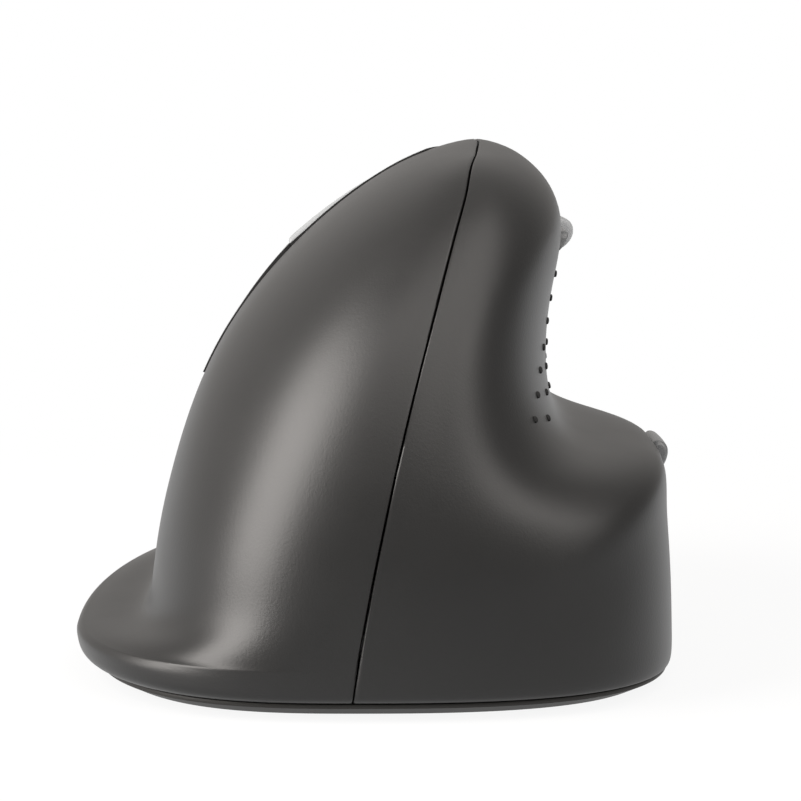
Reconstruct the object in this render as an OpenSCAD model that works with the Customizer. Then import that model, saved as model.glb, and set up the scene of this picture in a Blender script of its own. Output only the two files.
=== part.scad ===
// Left-handed vertical mouse, seen from behind: +X right, +Y forward, +Z up, origin under the middle.
// Two covers stand on a base plate. The fingers lie on the left slope and the thumb in the right-hand hollow.

/* [Body] */
// Width over both covers
body_w = 84; // [80:1:90]
// Length from heel to nose
body_l = 117.6; // [112:0.4:124]
// Height of the ridge above the desk
body_h = 71.4; // [69:0.2:76]
// Thickness of the covers
wall = 2.2; // [1.8:0.1:2.6]
// Width of the seam between the covers
seam_gap = 0.25; // [0.1:0.05:0.5]

/* [Base plate] */
// Thickness of the base plate
base_t = 1.9; // [1.7:0.1:2.6]
// Gap between the base plate and the covers
base_gap = 0.2; // [0.1:0.05:0.4]
// How far the plate's upper edge lies inside the covers' edge
base_inset = 0.4; // [0.2:0.1:1]
// How much further the plate's lower edge is drawn in
base_taper = 2.4; // [1:0.1:4]
// Height of the locating lip inside the covers
lip_h = 3; // [2:0.2:4]
// Thickness of the locating lip
lip_t = 1.2; // [0.8:0.1:1.6]
// Thickness of the glide feet
foot_h = 0.5; // [0.3:0.1:1]
// Radius of a glide foot
foot_r = 5; // [3.5:0.5:6]

/* [Finger keys] */
// Drop from the ridge to the lower key's lower edge
key_low_drop = 32.4; // [30:0.2:34]
// Drop from the ridge to the split between the keys
key_split_drop = 15.2; // [14:0.2:16.4]
// Drop from the ridge to the upper key's upper edge
key_top_drop = 1.5; // [1.1:0.1:2]
// Turn round the body, from the right, at the keys' front edge
key_front = 115; // [113:1:118]
// Gap round the keys
key_gap = 0.5; // [0.4:0.05:0.8]
// Gap at the keys' front edge
key_front_gap = 0.9; // [0.7:0.05:1.2]
// How far the keys stand proud at their outer edges
key_proud = 0.25; // [0.1:0.05:0.4]
// How far the upper key stands proud at the split
index_crown = 0.85; // [0.6:0.05:1.2]
// How far the lower key stands proud at the split
middle_crown = 0.45; // [0.2:0.05:0.8]
// Depth of the keys' underside below the cover's face
key_depth = 1.4; // [1.2:0.1:1.6]
// Travel of a key at its switch
key_travel = 0.3; // [0.2:0.05:0.4]
// Radius of the pivot rod
rod_r = 1.2; // [1:0.1:1.5]

/* [Wheel] */
// Radius of the wheel
wheel_r = 9; // [8.5:0.25:9.5]
// Width of the wheel
wheel_w = 7; // [6:0.25:7.5]
// How far the wheel stands above the slope
wheel_proud = 1.5; // [1.25:0.25:2]
// Thickness of the rubber tyre
tyre_t = 2.2; // [1.6:0.1:3]
// Radius of the axle
axle_r = 1.25; // [1:0.05:1.5]
// Travel of the wheel when it is pressed
wheel_travel = 0.5; // [0.3:0.05:0.5]

/* [Thumb buttons] */
// Drop from the ridge to the back button's lower edge
back_low_drop = 14.4; // [13.6:0.2:15.2]
// Drop from the ridge to the back button's upper edge
back_top_drop = 10.9; // [10.8:0.1:11.4]
// Drop from the ridge to the forward button's lower edge
forward_low_drop = 16.1; // [15.8:0.1:17]
// Drop from the ridge to the forward button's upper edge
forward_top_drop = 10.5; // [10:0.1:10.6]
// How far the back button stands proud
back_proud = 1.3; // [1:0.1:2]
// How far the forward button stands proud
forward_proud = 3.1; // [2.4:0.1:3.6]
// How far the speed button stands proud
speed_proud = 1.3; // [0.8:0.1:1.8]
// Gap round the buttons
button_gap = 0.4; // [0.35:0.05:0.6]
// Travel of the buttons
button_travel = 0.5; // [0.3:0.05:0.5]

/* [Thumb grip] */
// Radius of a grip nub
nub_r = 0.5; // [0.4:0.02:0.7]
// Height of a nub above the cover
nub_h = 0.3; // [0.2:0.05:0.5]
// Depth of a nub's socket in the cover
nub_depth = 0.9; // [0.5:0.1:1.3]

/* [Fasteners] */
// Radius of the screw threads
screw_r = 1; // [0.8:0.05:1.2]
// Radius of the screw heads
head_r = 1.9; // [1.6:0.1:2.2]
// Height of the screw heads
head_h = 0.9; // [0.7:0.1:1]
// Radius of the covers' screw bosses
boss_r = 3; // [2.5:0.1:3.4]
// Height of the covers' screw bosses
boss_h = 11; // [9:0.5:14]

/* [Electronics] */
// Thickness of the circuit boards
board_t = 1.6; // [1.2:0.1:1.8]
// Height of the main board above the base plate
standoff_h = 4.6; // [4.4:0.1:5.4]
// Width of the battery
battery_w = 30; // [24:1:31]
// Length of the battery
battery_l = 34; // [26:1:35]
// Thickness of the battery
battery_t = 6; // [4:0.5:8]
// Width of the charge port
port_w = 9; // [8.4:0.1:9.4]
// Height of the charge port
port_h = 3.2; // [2.8:0.1:3.4]
// Travel of the power slider
power_travel = 2; // [1.5:0.1:2.2]

/* [Clearances] */
// Radial clearance of a turning fit
run_fit = 0.05; // [0.02:0.01:0.1]
// Clearance between pieces that lie beside each other
side_fit = 0.3; // [0.2:0.05:0.5]
// Clearance between a button's stem and its switch
touch_fit = 0.1; // [0.05:0.05:0.2]

/* [Hidden] */
$fn = 48;

cover_colour = "#3a3938";
key_colour = "#b9bab8";
plate_colour = "#232322";
rubber_colour = "#161616";
board_colour = "#1f4a35";
steel_colour = "#a8a9aa";

// Levels above the desk
floor_z = foot_h + base_t;
cover_z = floor_z + base_gap;

// Profile points: across the left side, the right side, the heel and the nose, each from the lower edge
// to the ridge, drawn for a body of these sizes and fitted to the sizes above
drawn = [84, 117.6, 71.4, 2.6];
left_points = [[-39.4, 2.6], [-41.6, 3], [-42.2, 5.2], [-42, 7.2], [-37.4, 7.5], [-32.2, 7.6], [-31.6, 12.4],
    [-30.7, 20], [-29, 27.2], [-26.7, 35], [-23.1, 43.5], [-16.7, 52.7], [-7.1, 62.1], [3.4, 69.2],
    [10.4, 71.4], [14.4, 71.4]];
right_points = [[41.7, 2.6], [42, 3], [41.9, 7], [41.8, 12.5], [41.5, 18.5], [41, 24.5], [41.3, 30.5],
    [36.8, 31.6], [28.8, 31.3], [24.9, 36], [24, 44], [25, 53], [27.8, 62.5], [23.4, 69.6], [18, 71.4],
    [14.4, 71.4]];
heel_points = [[-57.7, 2.6], [-58.7, 3], [-58.8, 4.8], [-58.8, 6.6], [-58.7, 9.5], [-58.4, 14], [-57.8, 19.5],
    [-56.7, 26], [-54.7, 33], [-51.7, 40], [-47.5, 47.5], [-41.9, 55], [-34.4, 62.2], [-25.4, 68.4],
    [-15.9, 71.4], [-6.9, 71.4]];
nose_points = [[57.7, 2.6], [58.7, 3], [58.8, 4.8], [58.8, 6.6], [58.7, 9.5], [58.1, 14], [57.1, 19.5],
    [55.5, 26], [53.3, 33], [50.5, 40], [46.9, 47.5], [42.5, 55], [36.9, 61.6], [29.6, 67.6], [20.6, 71.4],
    [11.1, 71.4]];
// The seam's place from side to side and the widest section's place from heel to nose, at each level
middle_points = [[-3, -20.9], [-2.95, -20.9], [-2.7, -20.9], [-2.4, -20.9], [-2, -20.4], [-1.2, -19.9],
    [-0.2, -18.9], [1.2, -17.4], [2.7, -15.4], [4.4, -12.9], [6.4, -9.9], [8.6, -6.9], [10.7, -3.9],
    [12.9, -0.9], [14, 1.1], [14.4, 2.1]];
// Squareness of the plan at the heel's right and left, at the nose's right and left, and at the ridge
square_heel = [2.9, 2.4];
square_nose = [2.4, 2];
square_ridge = 2.2;
// The flange along the hand's edge ends at this profile point, and is solid
flange_end = 6;

function fit_x(x) = x * body_w / drawn.x;
function fit_y(y) = y * body_l / drawn.y;
function fit_z(z) = cover_z + (z - drawn[3]) * (body_h - cover_z) / (drawn.z - drawn[3]);
left_side = [for (p = left_points) [fit_x(p.x), fit_z(p.y)]];
right_side = [for (p = right_points) [fit_x(p.x), fit_z(p.y)]];
heel = [for (p = heel_points) [fit_y(p.x), fit_z(p.y)]];
nose = [for (p = nose_points) [fit_y(p.x), fit_z(p.y)]];
middle = [for (p = middle_points) [fit_x(p.x), fit_y(p.y)]];

// Profiles drawn in by the wall; turn is 1 where inwards lies to the right of the profile
function unit(v) = v / norm(v);
function inwards(p, i, turn) = let (d = unit(p[i + 1] - p[i])) turn * [d.y, -d.x];
function drawn_in(p, turn) = [for (i = [0:len(p) - 1])
    i <= 2 ? p[i] + [turn * wall, 0]
    : i == len(p) - 1 ? p[i] + wall * inwards(p, i - 1, turn)
    : let (a = inwards(p, i - 1, turn), b = inwards(p, i, turn)) p[i] + wall * (a + b) / (1 + a * b)];
left_drawn = drawn_in(left_side, 1);
left_inside = [for (i = [0:len(left_side) - 1])
    i < flange_end ? [left_side[flange_end].x + wall,
        cover_z + (left_side[flange_end].y - cover_z) * i / flange_end] : left_drawn[i]];
right_inside = drawn_in(right_side, -1);
heel_inside = drawn_in(heel, 1);
nose_inside = drawn_in(nose, -1);

// Cubic spline through a list of control points, from 0 at the first to 1 at the last
function knot(i, n) = min(1, max(0, (i - 3) / (n - 3)));
function blend(c, i, r, t) = r == 0 ? c[i]
    : let (k = knot(i, len(c)), a = (t - k) / (knot(i + 4 - r, len(c)) - k))
        (1 - a) * blend(c, i - 1, r - 1, t) + a * blend(c, i, r - 1, t);
function spline(c, t) = blend(c, min(floor(t * (len(c) - 3)), len(c) - 4) + 3, 3, t);

// Place between 0 and 1 at which a rising function crosses zero
function crossing(f, lo = 0, hi = 1, n = 26) = let (m = (lo + hi) / 2)
    n == 0 ? m : f(m) > 0 ? crossing(f, lo, m, n - 1) : crossing(f, m, hi, n - 1);
function rise_at(profile, z) = crossing(function(t) spline(profile, t).y - z);

// One level of the body: its rise, the four profiles outside, the same inside, and the middle
function level(t) = [t,
    [spline(left_side, t), spline(right_side, t), spline(heel, t), spline(nose, t)],
    [spline(left_inside, t), spline(right_inside, t), spline(heel_inside, t), spline(nose_inside, t)],
    spline(middle, t)];
function squareness(turn, t) = let (r = (1 + cos(turn)) / 2, f = (1 + sin(turn)) / 2,
    low = (1 - f) * (r * square_heel[0] + (1 - r) * square_heel[1])
        + f * (r * square_nose[0] + (1 - r) * square_nose[1])) low + (square_ridge - low) * t;
// A point at a turn round the body, on the left (side -1) or the right (side 1)
function on_ring(turn, side, t, p, c) = let (u = abs(cos(turn)), v = sin(turn), n = 2 / squareness(turn, t),
    half = side < 0 ? c.x - p[0].x : p[1].x - c.x, reach = v < 0 ? c.y - p[2].x : p[3].x - c.y)
    [c.x + side * max(half * pow(u, n), seam_gap / 2), c.y + sign(v) * reach * pow(abs(v), n),
        u * u * (side < 0 ? p[0].y : p[1].y) + v * v * (v < 0 ? p[2].y : p[3].y)];
// The same at a depth below the outer surface; a negative depth stands proud
function on_skin(turn, side, lv, depth) = let (a = on_ring(turn, side, lv[0], lv[1], lv[3]))
    depth == 0 ? a : a + (on_ring(turn, side, lv[0], lv[2], lv[3]) - a) * depth / wall;
function skin(turn, side, t, depth = 0) = on_skin(turn, side, level(t), depth);

function steps(a, b, n) = [for (i = [0:n - 1]) a + (b - a) * i / n];
function mix(a, b, k) = a + (b - a) * k;

// A closed sheet between two grids of points; keep says which cells of the grid are there
module sheet(outer, inner, keep) {
    m = len(outer) - 1;
    n = len(outer[0]) - 1;
    low = (m + 1) * (n + 1);
    function has(i, j) = i >= 0 && j >= 0 && i < m && j < n && keep[i][j];
    function at(i, j) = i * (n + 1) + j;
    function quad(a, b, c, d) = [[a, b, c], [a, c, d]];
    polyhedron(points = [for (g = [outer, inner]) each [for (col = g) each col]],
        faces = [for (i = [0:m - 1]) each [for (j = [0:n - 1]) if (has(i, j))
            each let (a = at(i, j), b = at(i, j + 1), c = at(i + 1, j + 1), d = at(i + 1, j)) concat(
                quad(a, b, c, d), quad(d + low, c + low, b + low, a + low),
                has(i, j - 1) ? [] : quad(a, d, d + low, a + low),
                has(i, j + 1) ? [] : quad(c, b, b + low, c + low),
                has(i - 1, j) ? [] : quad(b, a, a + low, b + low),
                has(i + 1, j) ? [] : quad(d, c, c + low, d + low))]]);
}

// A patch of the skin between two turns and two rises, drawn in by a gap at each edge
function turn_gap(turn, side, t, gap) = gap == 0 ? 0
    : gap / norm(skin(turn + 0.5, side, t) - skin(turn - 0.5, side, t));
function rise_gap(turn, side, t, gap) = gap == 0 ? 0
    : gap * 0.01 / norm(skin(turn, side, t + 0.005) - skin(turn, side, t - 0.005));
function patch(turns, rises, gaps, side, depth, m, n) = [for (i = [0:m]) [for (j = [0:n])
    let (rough = mix(turns[0], turns[1], i / m),
        t = mix(rises[0] + rise_gap(leant(rough, side, rises[0]), side, rises[0], gaps[2]),
            rises[1] - rise_gap(leant(rough, side, rises[1]), side, rises[1], gaps[3]), j / n),
        a = leant(turns[0], side, t), b = leant(turns[1], side, t),
        turn = mix(a + turn_gap(a, side, t, gaps[0]), b - turn_gap(b, side, t, gaps[1]), i / m))
    skin(turn, side, t, depth(i / m, j / n))]];
// Form says how far the patch stands proud at each share of its length and of its height
module skin_patch(turns, rises, gaps, side, form, inner, m, n) {
    sheet(patch(turns, rises, gaps, side, function(s, k) -form(s, k), m, n),
        patch(turns, rises, gaps, side, function(s, k) inner, m, n),
        [for (i = [1:m]) [for (j = [1:n]) true]]);
}

// A frame of its own for a slanted group of pieces: an origin, a turn about Z and a tilt of X upwards
function frame_axes(f) = [[cos(f[2]) * cos(f[1]), cos(f[2]) * sin(f[1]), sin(f[2])],
    [-sin(f[1]), cos(f[1]), 0], [-sin(f[2]) * cos(f[1]), -sin(f[2]) * sin(f[1]), cos(f[2])]];
function in_frame(f, p) = frame_axes(f) * (p - f[0]);
function from_frame(f, q) = f[0] + q * frame_axes(f);
module in_group(f) {
    translate(f[0]) rotate([0, -f[2], f[1]]) children();
}
module along_x(r, x0, x1) {
    translate([x0, 0, 0]) rotate([0, 90, 0]) cylinder(r = r, h = x1 - x0);
}
module block(x, y, z) {
    translate([x[0], y[0], z[0]]) cube([x[1] - x[0], y[1] - y[0], z[1] - z[0]]);
}

// Charge port at the foot of the nose, on the seam
board_z = floor_z + standoff_h;
board_top = board_z + board_t;
port_room = 0.7;
port_rises = [rise_at(nose, board_top - port_room), rise_at(nose, board_top + port_h + port_room)];
port_x = spline(middle, port_rises[0]).x;
port_reach = 40;
function port_edge(side) = port_reach * crossing(function(k)
    side * (skin(90 - side * port_reach * k, side, port_rises[1], wall).x - port_x) - port_w / 2 - side_fit);
port_turns = [90 - port_edge(1), 90 + port_edge(-1)];
port_l = 10;
port_y = spline(nose_inside, port_rises[1]).x - side_fit;

// Finger slope: X runs up the slope, Z out of it
slope_tilt = 45;
key_rear = 180;
key_rises = [for (drop = [key_low_drop, key_split_drop, key_top_drop]) rise_at(left_side, body_h - drop)];
// The keys' rear edge leans forward as it rises: its turn at the keys' lower edge, split and upper edge
rear_turns = [177, 167, 152];
rear_steps = [for (i = [0, 1]) (rear_turns[i + 1] - rear_turns[i]) / (key_rises[i + 1] - key_rises[i])];
rear_bend = (rear_steps[1] - rear_steps[0]) / (key_rises[2] - key_rises[0]);
function rear_at(t) = let (c = min(max(t, key_rises[0]), key_rises[2]))
    rear_turns[0] + (c - key_rises[0]) * (rear_steps[0] + (c - key_rises[1]) * rear_bend);
function leant(turn, side, t) = side > 0 || turn <= key_front ? turn
    : turn < key_rear ? mix(key_front, rear_at(t), (turn - key_front) / (key_rear - key_front))
    : mix(rear_at(t), 270, (turn - key_rear) / (270 - key_rear));
slope_drop = 12.8;
slope_foot = skin(key_rear, -1, rise_at(left_side, body_h - slope_drop));
slope = [[slope_foot.x, 0, slope_foot.z], 0, slope_tilt];
function slope_point(turn, x) =
    in_frame(slope, skin(turn, -1, crossing(function(t) in_frame(slope, skin(turn, -1, t)).x - x)));
function rear_point(x) = let (t = crossing(function(t) in_frame(slope, skin(rear_at(t), -1, t)).x - x))
    in_frame(slope, skin(rear_at(t), -1, t));
deck_z = -16;
deck_t = 2.5;
deck_x = [-18.8, 12];
deck_y = [fit_y(-6.9), fit_y(33.6)];
deck_edge = 0.5;
key_board_x = [-16, 15.6];
key_board_y = [5, fit_y(30)];

// Pivot rod under the keys' rear ends, and the lugs and posts on it
rod_y = 1.8;
rod_z = -9.5;
rod_x = 18.4;
lug_r = 2.4;
lug_w = 2.6;
lug_x = [[-14, -5.5], [5.5, 16.8]];
post_w = 2.4;
post_x = [-17.4, 0, 13.6];
lug_sink = 0.9;
neck_y = [1, 3.8];
neck_room = 1.3;
// The crowns beside the split fade out over these shares of the keys' height
crown_reach = [0.55, 0.3];

// Key switches, beside the wheel
switch_turn = 150;
switch_x = [-13, 12.4];
switch_size = [5.8, 12.8, 6.5];
plunger_r = 1;
plunger_h = 0.7;
plunger_deep = 2;
switch_top = deck_z + board_t + switch_size.z;
switch_places = [for (x = switch_x) slope_point(switch_turn, x)];
plunger_top = switch_top + plunger_h;
stem_r = 1.6;

// Wheel on the split between the keys
wheel_turn = 139;
wheel_mark = in_frame(slope, skin(wheel_turn, -1, key_rises[1]));
wheel_at = [wheel_mark.x, wheel_mark.y, wheel_mark.z + wheel_proud - wheel_r];
wheel_room = 0.7;
slot_half_w = wheel_w / 2 + wheel_room;
slot_half_l = sqrt(pow(wheel_r, 2) - pow(wheel_r - wheel_proud - 2 * key_depth, 2)) + wheel_room;
arm_gap = 0.5;
arm_w = 2;
arm_l = 7;
arm_up = 2.6;
arm_x = wheel_w / 2 + arm_gap;
bridge_z = -wheel_r - 0.8;
bridge_t = 2;
encoder_w = 4;
encoder_y = 4.4;
encoder_z = [-2.8, 2.6];
tact_size = [6, 6, 2.5];
tact_r = 1.7;
tact_h = 0.7;
tact_deep = 1.4;
bar_z = wheel_at.z + bridge_z - bridge_t - touch_fit - tact_h - tact_size.z;
bar_t = 2.5;
bar_w = 8;
deck_slot_x = arm_x + arm_w + side_fit;

// Legs of the inner frame, on either side of the main board
leg_x = [fit_x(-19.6), fit_x(16.6)];
leg_w = 4;
leg_y = [deck_y[0] + deck_edge, deck_y[1] - deck_edge - deck_t];
arch_z = 14;
foot_boss_r = 2.6;
foot_boss_h = 8;
leg_mid_x = [leg_x[0] + leg_w / 2, leg_x[1] - leg_w / 2];
leg_mid_y = [leg_y[0] + deck_t / 2, leg_y[1] + deck_t / 2];

// Thumb buttons: turns round the body at their ends, and rises at their edges
side_turns = [-2, 12.5, 31];
side_drops = [forward_low_drop, back_low_drop, back_top_drop, forward_top_drop];
side_rises = [for (drop = side_drops) rise_at(right_side, body_h - drop)];
forward_rises = [side_rises[0], side_rises[3]];
back_rises = [side_rises[1], side_rises[2]];
speed_turns = [4, side_turns[1]];
speed_heights = [26.1, 30.4];
speed_rises = [for (z = speed_heights) rise_at(right_side, fit_z(z))];
button_root = 0.6;
function facing(turn, t) = let (u = unit(skin(turn, 1, t) - skin(turn, 1, t, wall)))
    [skin(turn, 1, t), atan2(u.y, u.x), asin(u.z)];
side_group = facing(side_turns[1], mix(side_rises[0], side_rises[3], 0.5));
speed_group = facing(mix(speed_turns[0], speed_turns[1], 0.5), mix(speed_rises[0], speed_rises[1], 0.5));
function button_mark(group, turns, rises) =
    in_frame(group, skin(mix(turns[0], turns[1], 0.5), 1, mix(rises[0], rises[1], 0.5), wall));
back_mark = button_mark(side_group, [side_turns[0], side_turns[1]], back_rises);
forward_mark = button_mark(side_group, [side_turns[1], side_turns[2]], forward_rises);
speed_mark = button_mark(speed_group, speed_turns, speed_rises);
small_board_t = 1.2;
button_stem = 1.6;
button_face = -(wall + button_root + button_stem);
tact_face = button_face - touch_fit - tact_h;
small_board_face = tact_face - tact_size.z;
// Bosses that carry the small boards, by turn and rise
board_boss_r = 2;
boss_root = 0.6;
side_bosses = [for (k = [[6, -0.6], [24, -0.6]])
    in_frame(side_group, skin(k[0], 1, mix(side_rises[0], side_rises[3], k[1]), wall - boss_root))];
speed_bosses = [for (k = [[2.1, 0.3], [15, 0.3]])
    in_frame(speed_group, skin(k[0], 1, mix(speed_rises[0], speed_rises[1], k[1]), wall - boss_root))];
small_head_h = 0.9;

// Grip nubs: rows down the thumb wall, each with its height, its first nub's turn and its count
nub_rows = [[55, -9, 1], [51.8, -10, 1], [48.9, -13, 1], [45.7, -18.5, 2], [42.9, -24, 3], [39.8, -29.3, 4],
    [36.8, -35.8, 2]];
nub_pitch = 13;
nub_fall = 0.25;

// Screw bosses of the covers, by their turn round the body
boss_turns = [[118, 215], [55, -38]];
boss_in = 4.9;
boss_sink = 1;
function boss_place(turn, side) = let (p = skin(turn, side, 0, wall), c = middle[0],
    d = unit([c.x - p.x, c.y - p.y])) [p.x + d.x * boss_in, p.y + d.y * boss_in, atan2(-d.y, -d.x)];
boss_places = [for (k = [0, 1]) [for (turn = boss_turns[k]) boss_place(turn, k == 0 ? -1 : 1)]];
screw_seat = foot_h + head_h + 0.2;

// Grids of the covers; the breaks are the edges of the openings
palm_turns = concat(steps(90, port_turns[1], 1), steps(port_turns[1], key_front, 4),
    steps(key_front, key_rear, 7), steps(key_rear, 270, 12), [270]);
palm_rises = concat(steps(0, port_rises[0], 8), steps(port_rises[0], port_rises[1], 4),
    steps(port_rises[1], key_rises[0], 9), steps(key_rises[0], key_rises[2], 9),
    steps(key_rises[2], 1, 3), [1]);
thumb_turns = concat(steps(-90, side_turns[0], 10), steps(side_turns[0], speed_turns[0], 1),
    steps(speed_turns[0], speed_turns[1], 5), steps(side_turns[1], side_turns[2], 4),
    steps(side_turns[2], port_turns[0], 7), [port_turns[0], 90]);
thumb_rises = concat(steps(0, port_rises[0], 4), steps(port_rises[0], port_rises[1], 2),
    steps(port_rises[1], speed_rises[0], 2), steps(speed_rises[0], speed_rises[1], 4),
    steps(speed_rises[1], side_rises[0], 13), steps(side_rises[0], side_rises[1], 1),
    steps(side_rises[1], side_rises[2], 2), steps(side_rises[2], side_rises[3], 1),
    steps(side_rises[3], 1, 7), [1]);
function inside(a, span) = a > span[0] && a < span[1];
function middles(list) = [for (i = [1:len(list) - 1]) (list[i - 1] + list[i]) / 2];

module cover_shell(turns, rises, side, openings) {
    levels = [for (t = rises) level(t)];
    sheet([for (a = turns) [for (lv = levels) on_skin(leant(a, side, lv[0]), side, lv, 0)]],
        [for (a = turns) [for (lv = levels) on_skin(leant(a, side, lv[0]), side, lv, wall)]],
        [for (a = middles(turns)) [for (t = middles(rises))
            len([for (o = openings) if (inside(a, o[0]) && inside(t, o[1])) 1]) == 0]]);
}

module cover_bosses(places) {
    for (b = places) translate([b.x, b.y, 0]) difference() {
        union() {
            translate([0, 0, floor_z]) cylinder(r = boss_r, h = boss_h);
            translate([0, 0, floor_z + lip_h + side_fit]) rotate([0, 0, b.z])
                block([0, boss_in + boss_sink], [-lip_t / 2, lip_t / 2], [0, boss_h - lip_h - 1]);
        }
        translate([0, 0, floor_z - 1]) cylinder(r = screw_r, h = boss_h - 1);
    }
}

module board_bosses(group, marks) {
    in_group(group) for (m = marks) translate([0, m.y, m.z]) difference() {
        along_x(board_boss_r, small_board_face, m.x);
        along_x(screw_r, small_board_face - 1, m.x - 1);
    }
}

module palm_cover() color(cover_colour) union() {
    cover_shell(palm_turns, palm_rises, -1,
        [[[key_front, key_rear], [key_rises[0], key_rises[2]]], [[90, port_turns[1]], port_rises]]);
    cover_bosses(boss_places[0]);
}

module thumb_cover() color(cover_colour) difference() {
    union() {
        cover_shell(thumb_turns, thumb_rises, 1,
            [[[side_turns[0], side_turns[1]], back_rises], [[side_turns[1], side_turns[2]], forward_rises],
            [speed_turns, speed_rises], [[port_turns[0], 90], port_rises]]);
        cover_bosses(boss_places[1]);
        board_bosses(side_group, side_bosses);
        board_bosses(speed_group, speed_bosses);
    }
    each_nub() along_x(nub_r, -nub_depth, 1, $fn = 24);
}

module each_nub() {
    for (row = nub_rows, k = [0:row[2] - 1]) {
        f = facing(row[1] + k * nub_pitch, rise_at(right_side, fit_z(row[0] - k * nub_fall)));
        in_group(f) children();
    }
}

module grip_nubs() color(rubber_colour) each_nub() rotate([0, 90, 0]) rotate_extrude($fn = 24)
    polygon([[0, -nub_depth], [nub_r, -nub_depth], [nub_r, nub_h / 2], [nub_r - nub_h / 2, nub_h], [0, nub_h]]);

// Rings of the base plate: the covers' lower edge, or the inside of the covers, drawn in and set at a height
edge_turns = steps(0, 360, 72);
function edge_ring(p, inset, z) = [for (a = edge_turns) let (q = on_ring(a, cos(a) < 0 ? -1 : 1, 0,
    [p[0] + [inset, 0], p[1] - [inset, 0], p[2] + [inset, 0], p[3] - [inset, 0]], middle[0])) [q.x, q.y, z]];
module stacked(rings) {
    m = len(rings[0]);
    n = len(rings);
    polyhedron(points = [for (r = rings) each r],
        faces = concat([[for (i = [0:m - 1]) i]],
            [for (k = [0:n - 2]) each [for (i = [0:m - 1]) let (a = k * m + i, b = k * m + (i + 1) % m)
                each [[a, a + m, b + m], [a, b + m, b]]]],
            [[for (i = [m - 1:-1:0]) (n - 1) * m + i]]));
}
module base_shell() {
    low = level(0);
    lip_top = floor_z + lip_h;
    stacked([edge_ring(low[1], base_inset + base_taper, foot_h),
        edge_ring(low[1], base_inset, floor_z - base_t / 3),
        edge_ring(low[1], base_inset, floor_z), edge_ring(low[2], side_fit, floor_z),
        edge_ring(low[2], side_fit, lip_top), edge_ring(low[2], side_fit + lip_t, lip_top),
        edge_ring(low[2], side_fit + lip_t, floor_z)]);
}

sensor_at = [-1.5, fit_y(19)];
window_r = 4;
board_room = 1.1;
board_x = [leg_x[0] + leg_w + board_room, leg_x[1] - leg_w - board_room];
board_y = [-1.5, fit_y(38.5)];
tongue_x = [port_x - 7, port_x + 7];
tongue_y = port_y - port_l + 4;
pin_r = 0.9;
standoff_r = 2.2;
standoffs = [for (x = [board_x[0] + 3, board_x[1] - 3], y = [board_y[0] + 3, board_y[1] - 3]) [x, y]];
power_at = [port_x, tongue_y - 5];
power_knob = [3.2, 2.8];
power_flange = [6, 4.6];
power_body = [10, 5, 3];
all_screws = concat([for (k = [0, 1]) each boss_places[k]], [for (x = leg_mid_x, y = leg_mid_y) [x, y]]);
hole_fit = 0.15;
foot_places = [for (p = [[-24, -30], [24, -34], [-10, 48], [14, 46]]) [fit_x(p.x), fit_y(p.y)]];

module base_plate() color(plate_colour) difference() {
    union() {
        base_shell();
        for (p = standoffs) translate([p.x, p.y, floor_z]) {
            cylinder(r = standoff_r, h = standoff_h);
            cylinder(r = pin_r, h = standoff_h + board_t + 0.4);
        }
    }
    for (p = all_screws) translate([p.x, p.y, 0]) {
        cylinder(r = screw_r + hole_fit, h = floor_z + 1);
        cylinder(r = head_r + hole_fit, h = screw_seat);
    }
    for (k = [0, 1], p = boss_places[k]) translate([p.x, p.y, floor_z])
        cylinder(r = boss_r + side_fit, h = boss_h);
    translate([sensor_at.x, sensor_at.y, 0]) cylinder(r = window_r, h = floor_z + 1);
    translate([power_at.x, power_at.y, 0])
        block([-power_knob.x / 2 - side_fit, power_knob.x / 2 + power_travel + side_fit],
            [-power_knob.y / 2 - side_fit, power_knob.y / 2 + side_fit], [0, floor_z + 1]);
}

module screw(length) {
    translate([0, 0, screw_seat - head_h]) difference() {
        cylinder(r = head_r, h = head_h);
        translate([0, 0, -head_h / 2]) cylinder(r = head_r / 2, h = head_h, $fn = 6);
    }
    translate([0, 0, screw_seat]) cylinder(r = screw_r, h = length);
}
module base_screws() color(steel_colour) for (k = [0, 1], p = boss_places[k])
    translate([p.x, p.y, 0]) screw(boss_h - 3);
module frame_screws() color(steel_colour) for (x = leg_mid_x, y = leg_mid_y)
    translate([x, y, 0]) screw(foot_boss_h - 1);
module glide_feet() color("#d8d8d4") for (p = foot_places) translate([p.x, p.y, 0]) union() {
    cylinder(r1 = foot_r - foot_h, r2 = foot_r, h = foot_h / 2);
    translate([0, 0, foot_h / 2]) cylinder(r = foot_r, h = foot_h / 2);
}

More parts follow.
